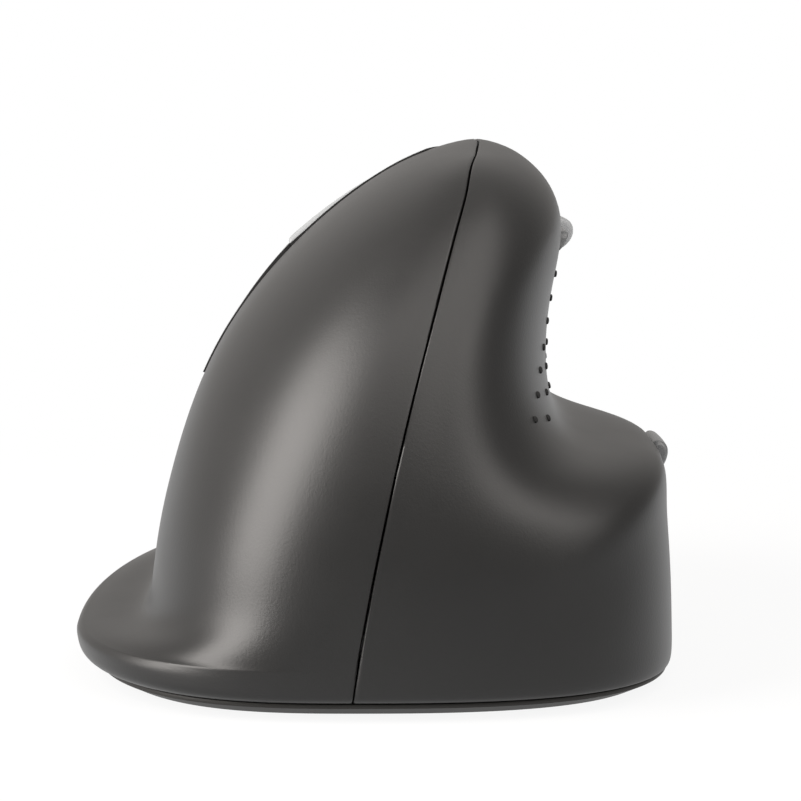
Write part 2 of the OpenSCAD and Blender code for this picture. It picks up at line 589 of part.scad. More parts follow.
// Inner frame: two legs with an arch, a slanted deck on them, posts for the pivot rod, a bar under the wheel
function slope_xz(x, z) = let (p = from_frame(slope, [x, 0, z])) [p.x, p.z];
module leg_plate(y) {
    low = slope_xz(deck_x[0] + deck_edge, deck_z - deck_t / 2);
    top = slope_xz(deck_x[1] - deck_edge, deck_z - deck_t / 2);
    translate([0, y + deck_t, 0]) rotate([90, 0, 0]) linear_extrude(deck_t)
        polygon([[leg_x[0], floor_z], low, top, [leg_x[1], top.y - leg_w], [leg_x[1], floor_z],
            [leg_x[1] - leg_w, floor_z], [leg_x[1] - leg_w, arch_z], [leg_x[0] + leg_w, arch_z],
            [leg_x[0] + leg_w, floor_z]]);
}
module inner_frame() color("#2b2b2c") difference() {
    union() {
        for (y = leg_y) leg_plate(y);
        in_group(slope) {
            block(deck_x, deck_y, [deck_z - deck_t, deck_z]);
            block([0, post_x[2]], [rod_y - lug_r / 2, rod_y + lug_r / 2],
                [deck_z - deck_t + deck_edge, deck_z - deck_edge]);
            block([wheel_at.x - bar_w / 2, wheel_at.x + bar_w / 2], deck_y, [bar_z - bar_t, bar_z]);
            for (x = post_x) block([x - post_w / 2, x + post_w / 2], [rod_y - lug_r, rod_y + lug_r],
                [deck_z - deck_t / 2, rod_z + lug_r]);
        }
        for (x = leg_mid_x, y = leg_mid_y) translate([x, y, floor_z])
            cylinder(r = foot_boss_r, h = foot_boss_h);
    }
    in_group(slope) {
        translate([0, rod_y, rod_z]) along_x(rod_r, -rod_x - 1, rod_x + 1);
        block([wheel_at.x - deck_slot_x, wheel_at.x + deck_slot_x],
            [wheel_at.y - wheel_r - wheel_room, deck_y[1] + 1], [deck_z - deck_t - 1.5, deck_z + 1]);
    }
    for (x = leg_mid_x, y = leg_mid_y) translate([x, y, floor_z - 1])
        cylinder(r = screw_r, h = foot_boss_h);
}

module key_pivot_rod() color(steel_colour) in_group(slope)
    translate([0, rod_y, rod_z]) along_x(rod_r, -rod_x, rod_x);

// A finger key: a patch of the slope, two lugs on the rod and a stem over its switch
module finger_key(rises, gaps, form, lugs, slot, place) color(key_colour) difference() {
    union() {
        skin_patch([key_front, key_rear], rises, gaps, -1, form, key_depth, 8, 6);
        in_group(slope) {
            for (x = lugs) translate([x, 0, 0]) {
                half = lug_w / 2;
                edge = rear_point(x);
                translate([0, rod_y, rod_z]) along_x(lug_r, -half, half);
                block([-half, half], [rod_y - lug_r / 2, edge.y + neck_y[1]],
                    [rod_z - lug_r / 2, edge.z - wall - neck_room]);
                block([-half, half], [edge.y + neck_y[0], edge.y + neck_y[1]], [rod_z, edge.z - lug_sink]);
            }
            translate([place.x, place.y, plunger_top + touch_fit])
                cylinder(r = stem_r, h = place.z - lug_sink - plunger_top - touch_fit);
        }
    }
    in_group(slope) {
        translate([0, rod_y, rod_z]) along_x(rod_r + run_fit, -rod_x - 1, rod_x + 1);
        block(slot, [wheel_at.y - slot_half_l, wheel_at.y + 2 * wheel_r], [plunger_top - wheel_r, wheel_proud]);
    }
}
module index_key() finger_key([key_rises[1], key_rises[2]], [key_front_gap, key_gap, key_gap / 2, key_gap],
    function(s, k) max(key_proud, mix(index_crown, key_proud, k / crown_reach[0])),
    lug_x[1], [-rod_x, wheel_at.x + slot_half_w], switch_places[1]);
module middle_key() finger_key([key_rises[0], key_rises[1]], [key_front_gap, key_gap, key_gap, key_gap / 2],
    function(s, k) max(key_proud, mix(middle_crown, key_proud, (1 - k) / crown_reach[1])),
    lug_x[0], [wheel_at.x - slot_half_w, rod_x], switch_places[0]);

// Wheel: a hub with its axle in a rubber tyre, in a carrier that slides through the deck
module at_wheel() {
    in_group(slope) translate(wheel_at) children();
}
module wheel_ring(profile) {
    rotate([0, 90, 0]) rotate_extrude($fn = 72) polygon(profile);
}
rib_count = 40;
rib_deep = 0.5;
tyre_round = 1.2;
module wheel_tyre() color(rubber_colour) at_wheel() difference() {
    r = wheel_r;
    h = wheel_w / 2;
    wheel_ring([[r - tyre_t, -h], [r - tyre_round, -h], [r, -h + tyre_round], [r, h - tyre_round],
        [r - tyre_round, h], [r - tyre_t, h]]);
    for (i = [0:rib_count - 1]) rotate([i * 360 / rib_count, 0, 0])
        translate([0, 0, r]) along_x(rib_deep, -h, h);
}
hub_rim = 1.6;
hub_web = 1.5;
hub_r = 3;
axle_l = arm_x + arm_w + encoder_w;
module wheel_hub() color("#8d8f90") at_wheel() union() {
    h = wheel_w / 2;
    r = wheel_r - tyre_t;
    wheel_ring([[0, -h], [hub_r, -h], [hub_r, -hub_web], [r - hub_rim, -hub_web], [r - hub_rim, -h], [r, -h],
        [r, h], [r - hub_rim, h], [r - hub_rim, hub_web], [hub_r, hub_web], [hub_r, h], [0, h]]);
    along_x(axle_r, -axle_l, arm_x + arm_w);
}
module wheel_carrier() color("#3d3f41") at_wheel() difference() {
    union() {
        for (s = [-1, 1]) translate([s * (arm_x + arm_w / 2), 0, 0])
            block([-arm_w / 2, arm_w / 2], [-arm_l / 2, arm_l / 2], [bridge_z - bridge_t, arm_up]);
        block([-arm_x - arm_w, arm_x + arm_w], [-arm_l / 2, arm_l / 2], [bridge_z - bridge_t, bridge_z]);
    }
    along_x(axle_r + run_fit, -axle_l - 1, axle_l + 1);
}
module wheel_encoder() color("#2f5d8a") at_wheel() difference() {
    block([-axle_l, -arm_x - arm_w], [-encoder_y, encoder_y], encoder_z);
    along_x(axle_r + run_fit, -axle_l - 1, 0);
}

// Small press switches: a square body with a round plunger in it
module tact_body() difference() {
    block([-tact_size.x / 2, tact_size.x / 2], [-tact_size.y / 2, tact_size.y / 2], [-tact_size.z, 0]);
    translate([0, 0, -tact_deep - max(button_travel, wheel_travel) - touch_fit])
        cylinder(r = tact_r + run_fit, h = tact_size.z);
}
module tact_plunger() translate([0, 0, -tact_deep]) cylinder(r = tact_r, h = tact_deep + tact_h);
module at_wheel_switch() {
    in_group(slope) translate([wheel_at.x, wheel_at.y, bar_z + tact_size.z]) children();
}
module wheel_switch() color("#1c1c1e") at_wheel_switch() tact_body();
module wheel_plunger() color("#c8a24a") at_wheel_switch() tact_plunger();

// Key board on the deck, with a switch under each key
module key_board() color(board_colour) in_group(slope) difference() {
    block(key_board_x, key_board_y, [deck_z, deck_z + board_t]);
    block([wheel_at.x - deck_slot_x, wheel_at.x + deck_slot_x],
        [wheel_at.y - wheel_r - wheel_room, key_board_y[1] + 1], [deck_z - 1, deck_z + board_t + 1]);
}
module at_key_switch(place) {
    in_group(slope) translate([place.x, place.y, switch_top]) children();
}
module key_switch(place) color("#1c1c1e") at_key_switch(place) difference() {
    half = switch_size / 2;
    block([-half.x, half.x], [-half.y, half.y], [-switch_size.z, 0]);
    translate([0, 0, -plunger_deep - key_travel - touch_fit])
        cylinder(r = plunger_r + run_fit, h = switch_size.z);
}
module key_plunger(place) color("#d8d4c8") at_key_switch(place)
    translate([0, 0, -plunger_deep]) cylinder(r = plunger_r, h = plunger_deep + plunger_h);
module index_switch() key_switch(switch_places[1]);
module index_plunger() key_plunger(switch_places[1]);
module middle_switch() key_switch(switch_places[0]);
module middle_plunger() key_plunger(switch_places[0]);

// Thumb buttons: patches of the wall that stand proud, each with a stem behind it
module thumb_button(group, turns, rises, gaps, form, mark) color(key_colour) union() {
    skin_patch(turns, rises, gaps, 1, form, wall + button_root, 5, 6);
    in_group(group) translate([0, mark.y, mark.z]) along_x(stem_r, button_face, mark.x);
}
module forward_button() thumb_button(side_group, [side_turns[1], side_turns[2]], forward_rises,
    [button_gap / 2, button_gap, button_gap, button_gap],
    function(s, k) forward_proud * sqrt(1 - 0.9 * pow(2 * k - 1, 2)) * (1 - 0.5 * s), forward_mark);
module back_button() thumb_button(side_group, [side_turns[0], side_turns[1]], back_rises,
    [button_gap, button_gap / 2, button_gap, button_gap],
    function(s, k) back_proud * (1 - 0.9 * pow(1 - k, 2)) * (1 - 0.85 * s), back_mark);
module speed_button() thumb_button(speed_group, speed_turns, speed_rises,
    [button_gap, button_gap, button_gap, button_gap],
    function(s, k) speed_proud * (0.35 + 0.65 * sin(180 * k)), speed_mark);

// The small boards behind the buttons, on bosses of the thumb cover
module small_board(group, bosses, marks) color(board_colour) in_group(group) difference() {
    edge = board_boss_r + 0.8;
    all = concat(bosses, marks);
    low = [for (i = [1, 2]) min([for (p = all) p[i]]) - edge - 0.4];
    high = [for (i = [1, 2]) max([for (p = all) p[i]]) + edge + 0.4];
    block([small_board_face - small_board_t, small_board_face], [low[0], high[0]], [low[1], high[1]]);
    for (b = bosses) translate([0, b.y, b.z])
        along_x(screw_r + hole_fit, small_board_face - small_board_t - 1, small_board_face + 1);
}
module small_screws(group, bosses) color(steel_colour) in_group(group) {
    back = small_board_face - small_board_t;
    for (b = bosses) translate([0, b.y, b.z]) {
        difference() {
            along_x(head_r, back - small_head_h, back);
            along_x(head_r / 2, back - small_head_h - 1, back - small_head_h / 2);
        }
        along_x(screw_r, back, b.x - 2);
    }
}
module side_board() small_board(side_group, side_bosses, [back_mark, forward_mark]);
module side_screws() small_screws(side_group, side_bosses);
module speed_board() small_board(speed_group, speed_bosses, [speed_mark]);
module speed_screws() small_screws(speed_group, speed_bosses);
module at_tact(group, mark) {
    in_group(group) translate([tact_face, mark.y, mark.z]) rotate([0, 90, 0]) children();
}
module forward_switch() color("#1c1c1e") at_tact(side_group, forward_mark) tact_body();
module forward_plunger() color("#c8a24a") at_tact(side_group, forward_mark) tact_plunger();
module back_switch() color("#1c1c1e") at_tact(side_group, back_mark) tact_body();
module back_plunger() color("#c8a24a") at_tact(side_group, back_mark) tact_plunger();
module speed_switch() color("#1c1c1e") at_tact(speed_group, speed_mark) tact_body();
module speed_plunger() color("#c8a24a") at_tact(speed_group, speed_mark) tact_plunger();

// Main board on the base plate, with the sensor over the window and the port at the nose
sensor_hole_r = 3;
module main_board() color(board_colour) difference() {
    union() {
        block(board_x, board_y, [board_z, board_top]);
        block(tongue_x, [board_y[1] - 2, tongue_y], [board_z, board_top]);
    }
    for (p = standoffs) translate([p.x, p.y, board_z - 1]) cylinder(r = pin_r + hole_fit, h = board_t + 2);
    translate([sensor_at.x, sensor_at.y, board_z - 1]) cylinder(r = sensor_hole_r, h = board_t + 2);
}
// Each chip: its corner, measured from the sensor, and its size
chips = [[[-8.5, -16], [7, 7, 1]], [[2, -14], [9, 7, 1.6]], [[-8.5, 7], [5, 6, 1.2]], [[6, 8.5], [4, 3, 0.9]]];
module board_chips() color("#17181a") for (c = chips)
    translate([sensor_at.x + c[0].x, sensor_at.y + c[0].y, board_top]) cube(c[1]);
module optical_sensor() color("#202226") translate([sensor_at.x, sensor_at.y, board_top])
    block([-6, 6], [-5, 5], [0, 2.6]);
module sensor_lens() color("#dfe8ea") translate([sensor_at.x, sensor_at.y, floor_z]) union() {
    translate([0, 0, -base_t / 2]) cylinder(r = window_r - run_fit, h = base_t / 2);
    cylinder(r = window_r + 2, h = 1);
    cylinder(r = sensor_hole_r - run_fit, h = standoff_h + board_t);
}
module charge_port() color(steel_colour) translate([port_x, port_y, board_top]) difference() {
    block([-port_w / 2, port_w / 2], [-port_l, 0], [0, port_h]);
    block([-port_w / 2 + 0.4, port_w / 2 - 0.4], [-port_l + 1.5, 1], [0.4, port_h - 0.4]);
    block([-port_w, port_w], [-port_l - 1, -port_l + 0.5], [port_h - 0.6, port_h + 1]);
}
module power_switch() color("#1c1c1e") translate([power_at.x, power_at.y, board_z - power_body.z])
    block([-power_body.x / 2, power_body.x / 2], [-power_body.y / 2, power_body.y / 2], [0, power_body.z]);
module power_slider() color("#9a9c9c") translate([power_at.x, power_at.y, 0]) union() {
    block([-power_knob.x / 2, power_knob.x / 2], [-power_knob.y / 2, power_knob.y / 2],
        [foot_h + 0.2, floor_z + touch_fit]);
    block([-power_flange.x / 2, power_flange.x / 2], [-power_flange.y / 2, power_flange.y / 2],
        [floor_z + touch_fit, board_z - power_body.z - touch_fit]);
}

// Battery in its tray, behind the inner frame
tray_t = 1;
tray_h = 4;
battery_rear = leg_y[0] - 3 - tray_t;
module battery() color("#8f9499") block([-battery_w / 2, battery_w / 2],
    [battery_rear - battery_l, battery_rear], [floor_z + tray_t, floor_z + tray_t + battery_t]);
module battery_tray() color("#2b2b2c") difference() {
    grow = side_fit + tray_t;
    block([-battery_w / 2 - grow, battery_w / 2 + grow],
        [battery_rear - battery_l - grow, battery_rear + grow], [floor_z, floor_z + tray_h]);
    block([-battery_w / 2 - side_fit, battery_w / 2 + side_fit],
        [battery_rear - battery_l - side_fit, battery_rear + side_fit],
        [floor_z + tray_t, floor_z + tray_h + 1]);
}

palm_cover();
thumb_cover();
base_plate();
inner_frame();
index_key();
middle_key();
key_pivot_rod();
wheel_hub();
wheel_tyre();
wheel_carrier();
wheel_encoder();
wheel_switch();
wheel_plunger();
forward_button();
back_button();
speed_button();
grip_nubs();
key_board();
index_switch();
index_plunger();
middle_switch();
middle_plunger();
side_board();
side_screws();
forward_switch();
forward_plunger();
back_switch();
back_plunger();
speed_board();
speed_screws();
speed_switch();
speed_plunger();
main_board();
board_chips();
optical_sensor();
sensor_lens();
battery();
battery_tray();
charge_port();
power_switch();
power_slider();
glide_feet();
base_screws();
frame_screws();
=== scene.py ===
import math

import bmesh
import bpy
import numpy as np
from mathutils import Matrix, Vector


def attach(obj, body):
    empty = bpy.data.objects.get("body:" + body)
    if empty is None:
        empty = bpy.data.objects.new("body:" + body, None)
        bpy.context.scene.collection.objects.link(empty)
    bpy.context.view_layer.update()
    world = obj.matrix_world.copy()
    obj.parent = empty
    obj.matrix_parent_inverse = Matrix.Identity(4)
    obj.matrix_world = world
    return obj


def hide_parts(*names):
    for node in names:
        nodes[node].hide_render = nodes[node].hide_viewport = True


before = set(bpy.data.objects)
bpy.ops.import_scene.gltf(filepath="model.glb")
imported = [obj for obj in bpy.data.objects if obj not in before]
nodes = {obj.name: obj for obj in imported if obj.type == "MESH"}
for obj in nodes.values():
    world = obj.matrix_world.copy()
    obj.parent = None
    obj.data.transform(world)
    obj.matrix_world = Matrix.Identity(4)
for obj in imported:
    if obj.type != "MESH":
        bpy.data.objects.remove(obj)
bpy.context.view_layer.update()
scene = bpy.context.scene
mm = 0.001
print("frame loaded:", len(nodes), "nodes")


# node tree helpers

def newTree(name, kind, inputs, outputs):
    tree = bpy.data.node_groups.new(name, kind)
    for label, socketType, value in inputs:
        socket = tree.interface.new_socket(name=label, in_out="INPUT", socket_type=socketType)
        if value is not None:
            socket.default_value = value
    for label, socketType in outputs:
        tree.interface.new_socket(name=label, in_out="OUTPUT", socket_type=socketType)
    return tree, tree.nodes.new("NodeGroupInput").outputs, tree.nodes.new("NodeGroupOutput").inputs


def plug(tree, value, socket):
    if isinstance(value, bpy.types.NodeSocket):
        tree.links.new(value, socket)
    else:
        socket.default_value = value


def calc(tree, operation, *values):
    node = tree.nodes.new("ShaderNodeMath")
    node.operation = operation
    for socket, value in zip(node.inputs, values):
        plug(tree, value, socket)
    return node.outputs[0]


def vectorCalc(tree, operation, first, second):
    node = tree.nodes.new("ShaderNodeVectorMath")
    node.operation = operation
    plug(tree, first, node.inputs[0])
    plug(tree, second, node.inputs["Scale"] if operation == "SCALE" else node.inputs[1])
    return node.outputs[0]


def step(tree, kind, **values):
    node = tree.nodes.new(kind)
    for label, value in values.items():
        plug(tree, value, node.inputs[label.replace("_", " ")])
    return node


def mapped(tree, value, span, onto):
    return step(tree, "ShaderNodeMapRange", Value=value, From_Min=span[0], From_Max=span[1], To_Min=onto[0],
        To_Max=onto[1])


def inputId(tree, label):
    return next(s.identifier for s in tree.interface.items_tree if s.name == label and s.in_out == "INPUT")


def settled(obj):
    graph = bpy.context.evaluated_depsgraph_get()
    mesh = bpy.data.meshes.new_from_object(obj.evaluated_get(graph))
    old = obj.data
    obj.modifiers.clear()
    obj.data = mesh
    bpy.data.meshes.remove(old)
    return obj


def newObject(name, mesh):
    obj = bpy.data.objects.new(name, mesh)
    scene.collection.objects.link(obj)
    return obj


def grown(name, mesh, tree, **values):
    obj = newObject(name, mesh)
    modifier = obj.modifiers.new(tree.name, "NODES")
    modifier.node_group = tree
    for label, value in values.items():
        modifier[inputId(tree, label.replace("_", " "))] = value
    return settled(obj)


def smoothed(obj, angle=40):
    obj.data.shade_smooth()
    obj.data.set_sharp_from_angle(angle=math.radians(angle))
    return obj


def piece(obj, node, body="chassis"):
    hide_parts(node)
    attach(obj, body)
    print(node, "dressed,", len(obj.data.polygons), "faces")
    return obj


# finishes: two shared groups, then one material for each moulding

def noise(tree, size, detail, rough):
    place = tree.nodes.new("ShaderNodeTexCoord").outputs["Object"]
    scale = calc(tree, "DIVIDE", 1 / mm, size)
    return step(tree, "ShaderNodeTexNoise", Vector=place, Scale=scale, Detail=detail, Roughness=rough).outputs["Fac"]


def buildFineGrain():
    tree, ins, outs = newTree("fineGrain", "ShaderNodeTree",
        [("Size", "NodeSocketFloat", 0.3), ("Patch", "NodeSocketFloat", 8.0)],
        [("Height", "NodeSocketFloat"), ("Tone", "NodeSocketFloat")])
    tree.links.new(noise(tree, ins["Size"], detail=2.0, rough=0.6), outs["Height"])
    tree.links.new(noise(tree, ins["Patch"], detail=3.0, rough=0.5), outs["Tone"])
    return tree


def buildSoftDust():
    tree, ins, outs = newTree("softDust", "ShaderNodeTree",
        [("Amount", "NodeSocketFloat", 0.1), ("Speck", "NodeSocketFloat", 1.2)],
        [("Mask", "NodeSocketFloat")])
    normal = tree.nodes.new("ShaderNodeNewGeometry").outputs["Normal"]
    split = step(tree, "ShaderNodeSeparateXYZ", Vector=normal)
    upward = calc(tree, "MAXIMUM", split.outputs["Z"], 0.0)
    thick = calc(tree, "MULTIPLY", upward, noise(tree, ins["Speck"], detail=4.0, rough=0.7))
    tree.links.new(calc(tree, "MULTIPLY", thick, ins["Amount"]), outs["Mask"])
    return tree


fineGrain = buildFineGrain()
softDust = buildSoftDust()


def groupNode(tree, group, **values):
    node = tree.nodes.new("ShaderNodeGroup")
    node.node_tree = group
    for label, value in values.items():
        node.inputs[label].default_value = value
    return node


def mixColour(tree, share, first, second):
    node = tree.nodes.new("ShaderNodeMix")
    node.data_type = "RGBA"
    for socket, value in ((0, share), (6, first), (7, second)):  # 6 and 7 take colours
        plug(tree, value, node.inputs[socket])
    return node.outputs[2]


# lengths in millimetres; what a look leaves out is taken from here
plainLook = {"patch": 9.0, "dust": 0.0, "speck": 1.5, "dustColour": (0.4, 0.39, 0.37), "roughSpread": 0.05,
    "bump": 0.1, "bumpDepth": 0.03, "metal": 0.0, "specular": 0.5, "coat": 0.0, "coatRough": 0.3, "clear": 0.0}
shaderSockets = {"metal": "Metallic", "specular": "Specular IOR Level", "coat": "Coat Weight",
    "coatRough": "Coat Roughness", "clear": "Transmission Weight"}


def newFinish(name, changes):
    look = {**plainLook, **changes}
    material = bpy.data.materials.new(name)
    material.use_nodes = True
    tree = material.node_tree
    shader = tree.nodes["Principled BSDF"]
    grain = groupNode(tree, fineGrain, Size=look["grain"], Patch=look["patch"])
    dust = groupNode(tree, softDust, Amount=look["dust"], Speck=look["speck"])
    colour = mixColour(tree, grain.outputs["Tone"], (*look["dark"], 1), (*look["light"], 1))
    colour = mixColour(tree, dust.outputs["Mask"], colour, (*look["dustColour"], 1))
    roughs = look["rough"] - look["roughSpread"], look["rough"] + look["roughSpread"]
    rough = mapped(tree, grain.outputs["Tone"], (0, 1), roughs).outputs["Result"]
    if "bare" in look:  # walls below the coated face: near-black bare plastic, which also stands in as painted shade in the gap round the key
        skirt = tree.nodes.new("ShaderNodeAttribute")
        skirt.attribute_name = "skirt"
        colour = mixColour(tree, skirt.outputs["Fac"], colour, (*look["bare"], 1))
        rough = calc(tree, "MULTIPLY_ADD", skirt.outputs["Fac"], look["bareRough"], rough)
    bump = step(tree, "ShaderNodeBump", Height=grain.outputs["Height"], Strength=look["bump"],
        Distance=look["bumpDepth"] * mm)
    tree.links.new(colour, shader.inputs["Base Color"])
    tree.links.new(rough, shader.inputs["Roughness"])
    tree.links.new(bump.outputs["Normal"], shader.inputs["Normal"])
    for key, label in shaderSockets.items():
        shader.inputs[label].default_value = look[key]
    return material


looks = {
    "coverSatin": {"dark": (0.007, 0.007, 0.007), "light": (0.0092, 0.0092, 0.0092), "rough": 0.39, "grain": 0.38,
        "bump": 0.42, "bumpDepth": 0.04, "dust": 0.008, "specular": 0.43, "roughSpread": 0.02},
    "plateMatt": {"dark": (0.012, 0.0112, 0.01), "light": (0.0165, 0.0155, 0.014), "rough": 0.55, "grain": 0.35,
        "bump": 0.2, "specular": 0.35},
    # the keys' wall colour is near-black bare plastic and also painted shade for the gap round each key
    "keyCoat": {"dark": (0.225, 0.234, 0.241), "light": (0.262, 0.272, 0.28), "rough": 0.36, "grain": 0.2,
        "bump": 0.06, "specular": 0.45, "bare": (0.004, 0.004, 0.004), "bareRough": 0.6},
    # one button grey in two copies: a lit copy for the forward button, and a darker copy for the back and speed buttons
    # that is painted shade
    "buttonPale": {"dark": (0.29, 0.3, 0.312), "light": (0.348, 0.36, 0.372), "rough": 0.36, "grain": 0.25},
    "buttonSatin": {"dark": (0.107, 0.111, 0.115), "light": (0.145, 0.15, 0.155), "rough": 0.33, "grain": 0.25},
    "wheelRubber": {"dark": (0.005, 0.005, 0.005), "light": (0.009, 0.009, 0.009), "rough": 0.65, "grain": 0.2,
        "bump": 0.2, "dust": 0.01, "specular": 0.3},
    "hubPlastic": {"dark": (0.3, 0.3, 0.305), "light": (0.36, 0.36, 0.36), "rough": 0.4, "grain": 0.25},
    "brightSteel": {"dark": (0.55, 0.55, 0.56), "light": (0.66, 0.66, 0.67), "rough": 0.28, "grain": 0.15,
        "bump": 0.08, "metal": 1.0},
    "boardMask": {"dark": (0.012, 0.075, 0.036), "light": (0.022, 0.11, 0.055), "rough": 0.35, "grain": 0.4,
        "coat": 0.3},
    "switchBlack": {"dark": (0.014, 0.014, 0.016), "light": (0.022, 0.022, 0.024), "rough": 0.5, "grain": 0.2,
        "bump": 0.15},
    "plungerPale": {"dark": (0.55, 0.47, 0.28), "light": (0.64, 0.56, 0.36), "rough": 0.45, "grain": 0.2,
        "bump": 0.08},
    "lensClear": {"dark": (0.9, 0.93, 0.94), "light": (0.96, 0.97, 0.98), "rough": 0.06, "roughSpread": 0.02,
        "grain": 0.5, "bump": 0.02, "clear": 1.0},
    "cellFoil": {"dark": (0.36, 0.37, 0.39), "light": (0.46, 0.47, 0.49), "rough": 0.33, "grain": 0.8, "bump": 0.15,
        "metal": 0.7},
    "footSlick": {"dark": (0.6, 0.6, 0.58), "light": (0.68, 0.68, 0.66), "rough": 0.35, "grain": 0.4, "bump": 0.06},
}
finishes = {name: newFinish(name, look) for name, look in looks.items()}
print("finishes made:", len(finishes))


# the body's skin: four profiles, a middle line and a squareness, bent by one tree

bodyShape = {
    "left": [(-39.4, 2.6), (-41.6, 3), (-42.2, 5.2), (-42, 7.2), (-37.4, 7.5), (-32.2, 7.6), (-31.6, 12.4),
        (-30.7, 20), (-29, 27.2), (-26.7, 35), (-23.1, 43.5), (-16.7, 52.7), (-7.1, 62.1), (3.4, 69.2), (10.4, 71.4),
        (14.4, 71.4)],
    "right": [(41.7, 2.6), (42, 3), (41.9, 7), (41.8, 12.5), (41.5, 18.5), (41, 24.5), (41.3, 30.5), (36.8, 31.6),
        (28.8, 31.3), (24.9, 36), (24, 44), (25, 53), (27.8, 62.5), (23.4, 69.6), (18, 71.4), (14.4, 71.4)],
    "heel": [(-57.7, 2.6), (-58.7, 3), (-58.8, 4.8), (-58.8, 6.6), (-58.7, 9.5), (-58.4, 14), (-57.8, 19.5),
        (-56.7, 26), (-54.7, 33), (-51.7, 40), (-47.5, 47.5), (-41.9, 55), (-34.4, 62.2), (-25.4, 68.4),
        (-15.9, 71.4), (-6.9, 71.4)],
    "nose": [(57.7, 2.6), (58.7, 3), (58.8, 4.8), (58.8, 6.6), (58.7, 9.5), (58.1, 14), (57.1, 19.5), (55.5, 26),
        (53.3, 33), (50.5, 40), (46.9, 47.5), (42.5, 55), (36.9, 61.6), (29.6, 67.6), (20.6, 71.4), (11.1, 71.4)],
    "middle": [(-3, -20.9), (-2.95, -20.9), (-2.7, -20.9), (-2.4, -20.9), (-2, -20.4), (-1.2, -19.9),
        (-0.2, -18.9), (1.2, -17.4), (2.7, -15.4), (4.4, -12.9), (6.4, -9.9), (8.6, -6.9), (10.7, -3.9),
        (12.9, -0.9), (14, 1.1), (14.4, 2.1)],
    "squareHeel": (2.9, 2.4), "squareNose": (2.4, 2.0), "squareRidge": 2.2,
    "wall": 2.2, "seamGap": 0.25, "flangeEnd": 6, "coverFoot": 2.6,
    "ridgeLean": 0.042, "leanFrom": -7.0, "leanEnd": 18.0, "leanRises": (0.91, 1.0),
}
wall = bodyShape["wall"]
skinFields = ("turn", "side", "power", "middleX", "middleY", "outHalf", "outReach", "outSide", "outEnd",
    "inHalf", "inReach", "inSide", "inEnd", "depth", "lean")


def splineAt(points, t):
    points = np.asarray(points, float)
    t = np.clip(np.asarray(t, float), 0, 1)
    count = len(points)
    knots = np.clip((np.arange(count + 4) - 3) / (count - 3), 0, 1)
    span = np.minimum((t * (count - 3)).astype(int), count - 4) + 3
    row = [points[span - 3 + k] for k in range(4)]
    for r in range(1, 4):
        for k in range(3, r - 1, -1):
            i = span - 3 + k
            a = ((t - knots[i]) / (knots[i + 4 - r] - knots[i]))[..., None]
            row[k] = (1 - a) * row[k - 1] + a * row[k]
    return row[3]


def drawnIn(points, turn):
    p = np.asarray(points, float)
    d = np.diff(p, axis=0)
    d /= np.linalg.norm(d, axis=1)[:, None]
    normal = turn * np.stack([d[:, 1], -d[:, 0]], 1)
    inside = p.copy()
    inside[:3, 0] += turn * wall
    inside[-1] += wall * normal[-1]
    for i in range(3, len(p) - 1):
        a, b = normal[i - 1], normal[i]
        inside[i] += wall * (a + b) / (1 + a @ b)
    return inside


profiles = {name: np.array(bodyShape[name], float) for name in ("left", "right", "heel", "nose")}
insides = {name: drawnIn(profiles[name], 1 if name in ("left", "heel") else -1) for name in profiles}
flangeEnd, coverFoot = bodyShape["flangeEnd"], bodyShape["coverFoot"]
for k in range(flangeEnd):  # the flange is solid, so the inside goes straight down behind it
    insides["left"][k] = (profiles["left"][flangeEnd][0] + wall,
        coverFoot + (profiles["left"][flangeEnd][1] - coverFoot) * k / flangeEnd)


fineRises = np.linspace(0, 1, 20001)


def riseAt(name, height):
    return float(np.interp(height, splineAt(profiles[name], fineRises)[:, 1], fineRises))


def buildRingPoint():
    tree, ins, outs = newTree("ringPoint", "GeometryNodeTree",
        [(label, "NodeSocketFloat", 0.0) for label in ("Turn", "Side", "Power", "Half", "Reach", "Side Level",
            "End Level", "Middle X", "Middle Y", "Seam Half", "Lean", "Lean From", "Lean End")],
        [("Point", "NodeSocketVector")])
    u = calc(tree, "ABSOLUTE", calc(tree, "COSINE", ins["Turn"]))
    v = calc(tree, "SINE", ins["Turn"])
    across = calc(tree, "MULTIPLY", ins["Half"], calc(tree, "POWER", u, ins["Power"]))
    across = calc(tree, "MAXIMUM", across, ins["Seam Half"])
    along = calc(tree, "MULTIPLY", ins["Reach"], calc(tree, "POWER", calc(tree, "ABSOLUTE", v), ins["Power"]))
    y = calc(tree, "MULTIPLY_ADD", calc(tree, "SIGN", v), along, ins["Middle Y"])
    x = calc(tree, "MULTIPLY_ADD", ins["Side"], across, ins["Middle X"])
    beyond = calc(tree, "MINIMUM", calc(tree, "SUBTRACT", y, ins["Lean From"]), ins["Lean End"])
    x = calc(tree, "MULTIPLY_ADD", beyond, ins["Lean"], x)
    z = calc(tree, "MULTIPLY", calc(tree, "MULTIPLY", u, u), ins["Side Level"])
    z = calc(tree, "MULTIPLY_ADD", calc(tree, "MULTIPLY", v, v), ins["End Level"], z)
    point = step(tree, "ShaderNodeCombineXYZ", X=x, Y=y, Z=z)
    tree.links.new(point.outputs[0], outs["Point"])
    return tree


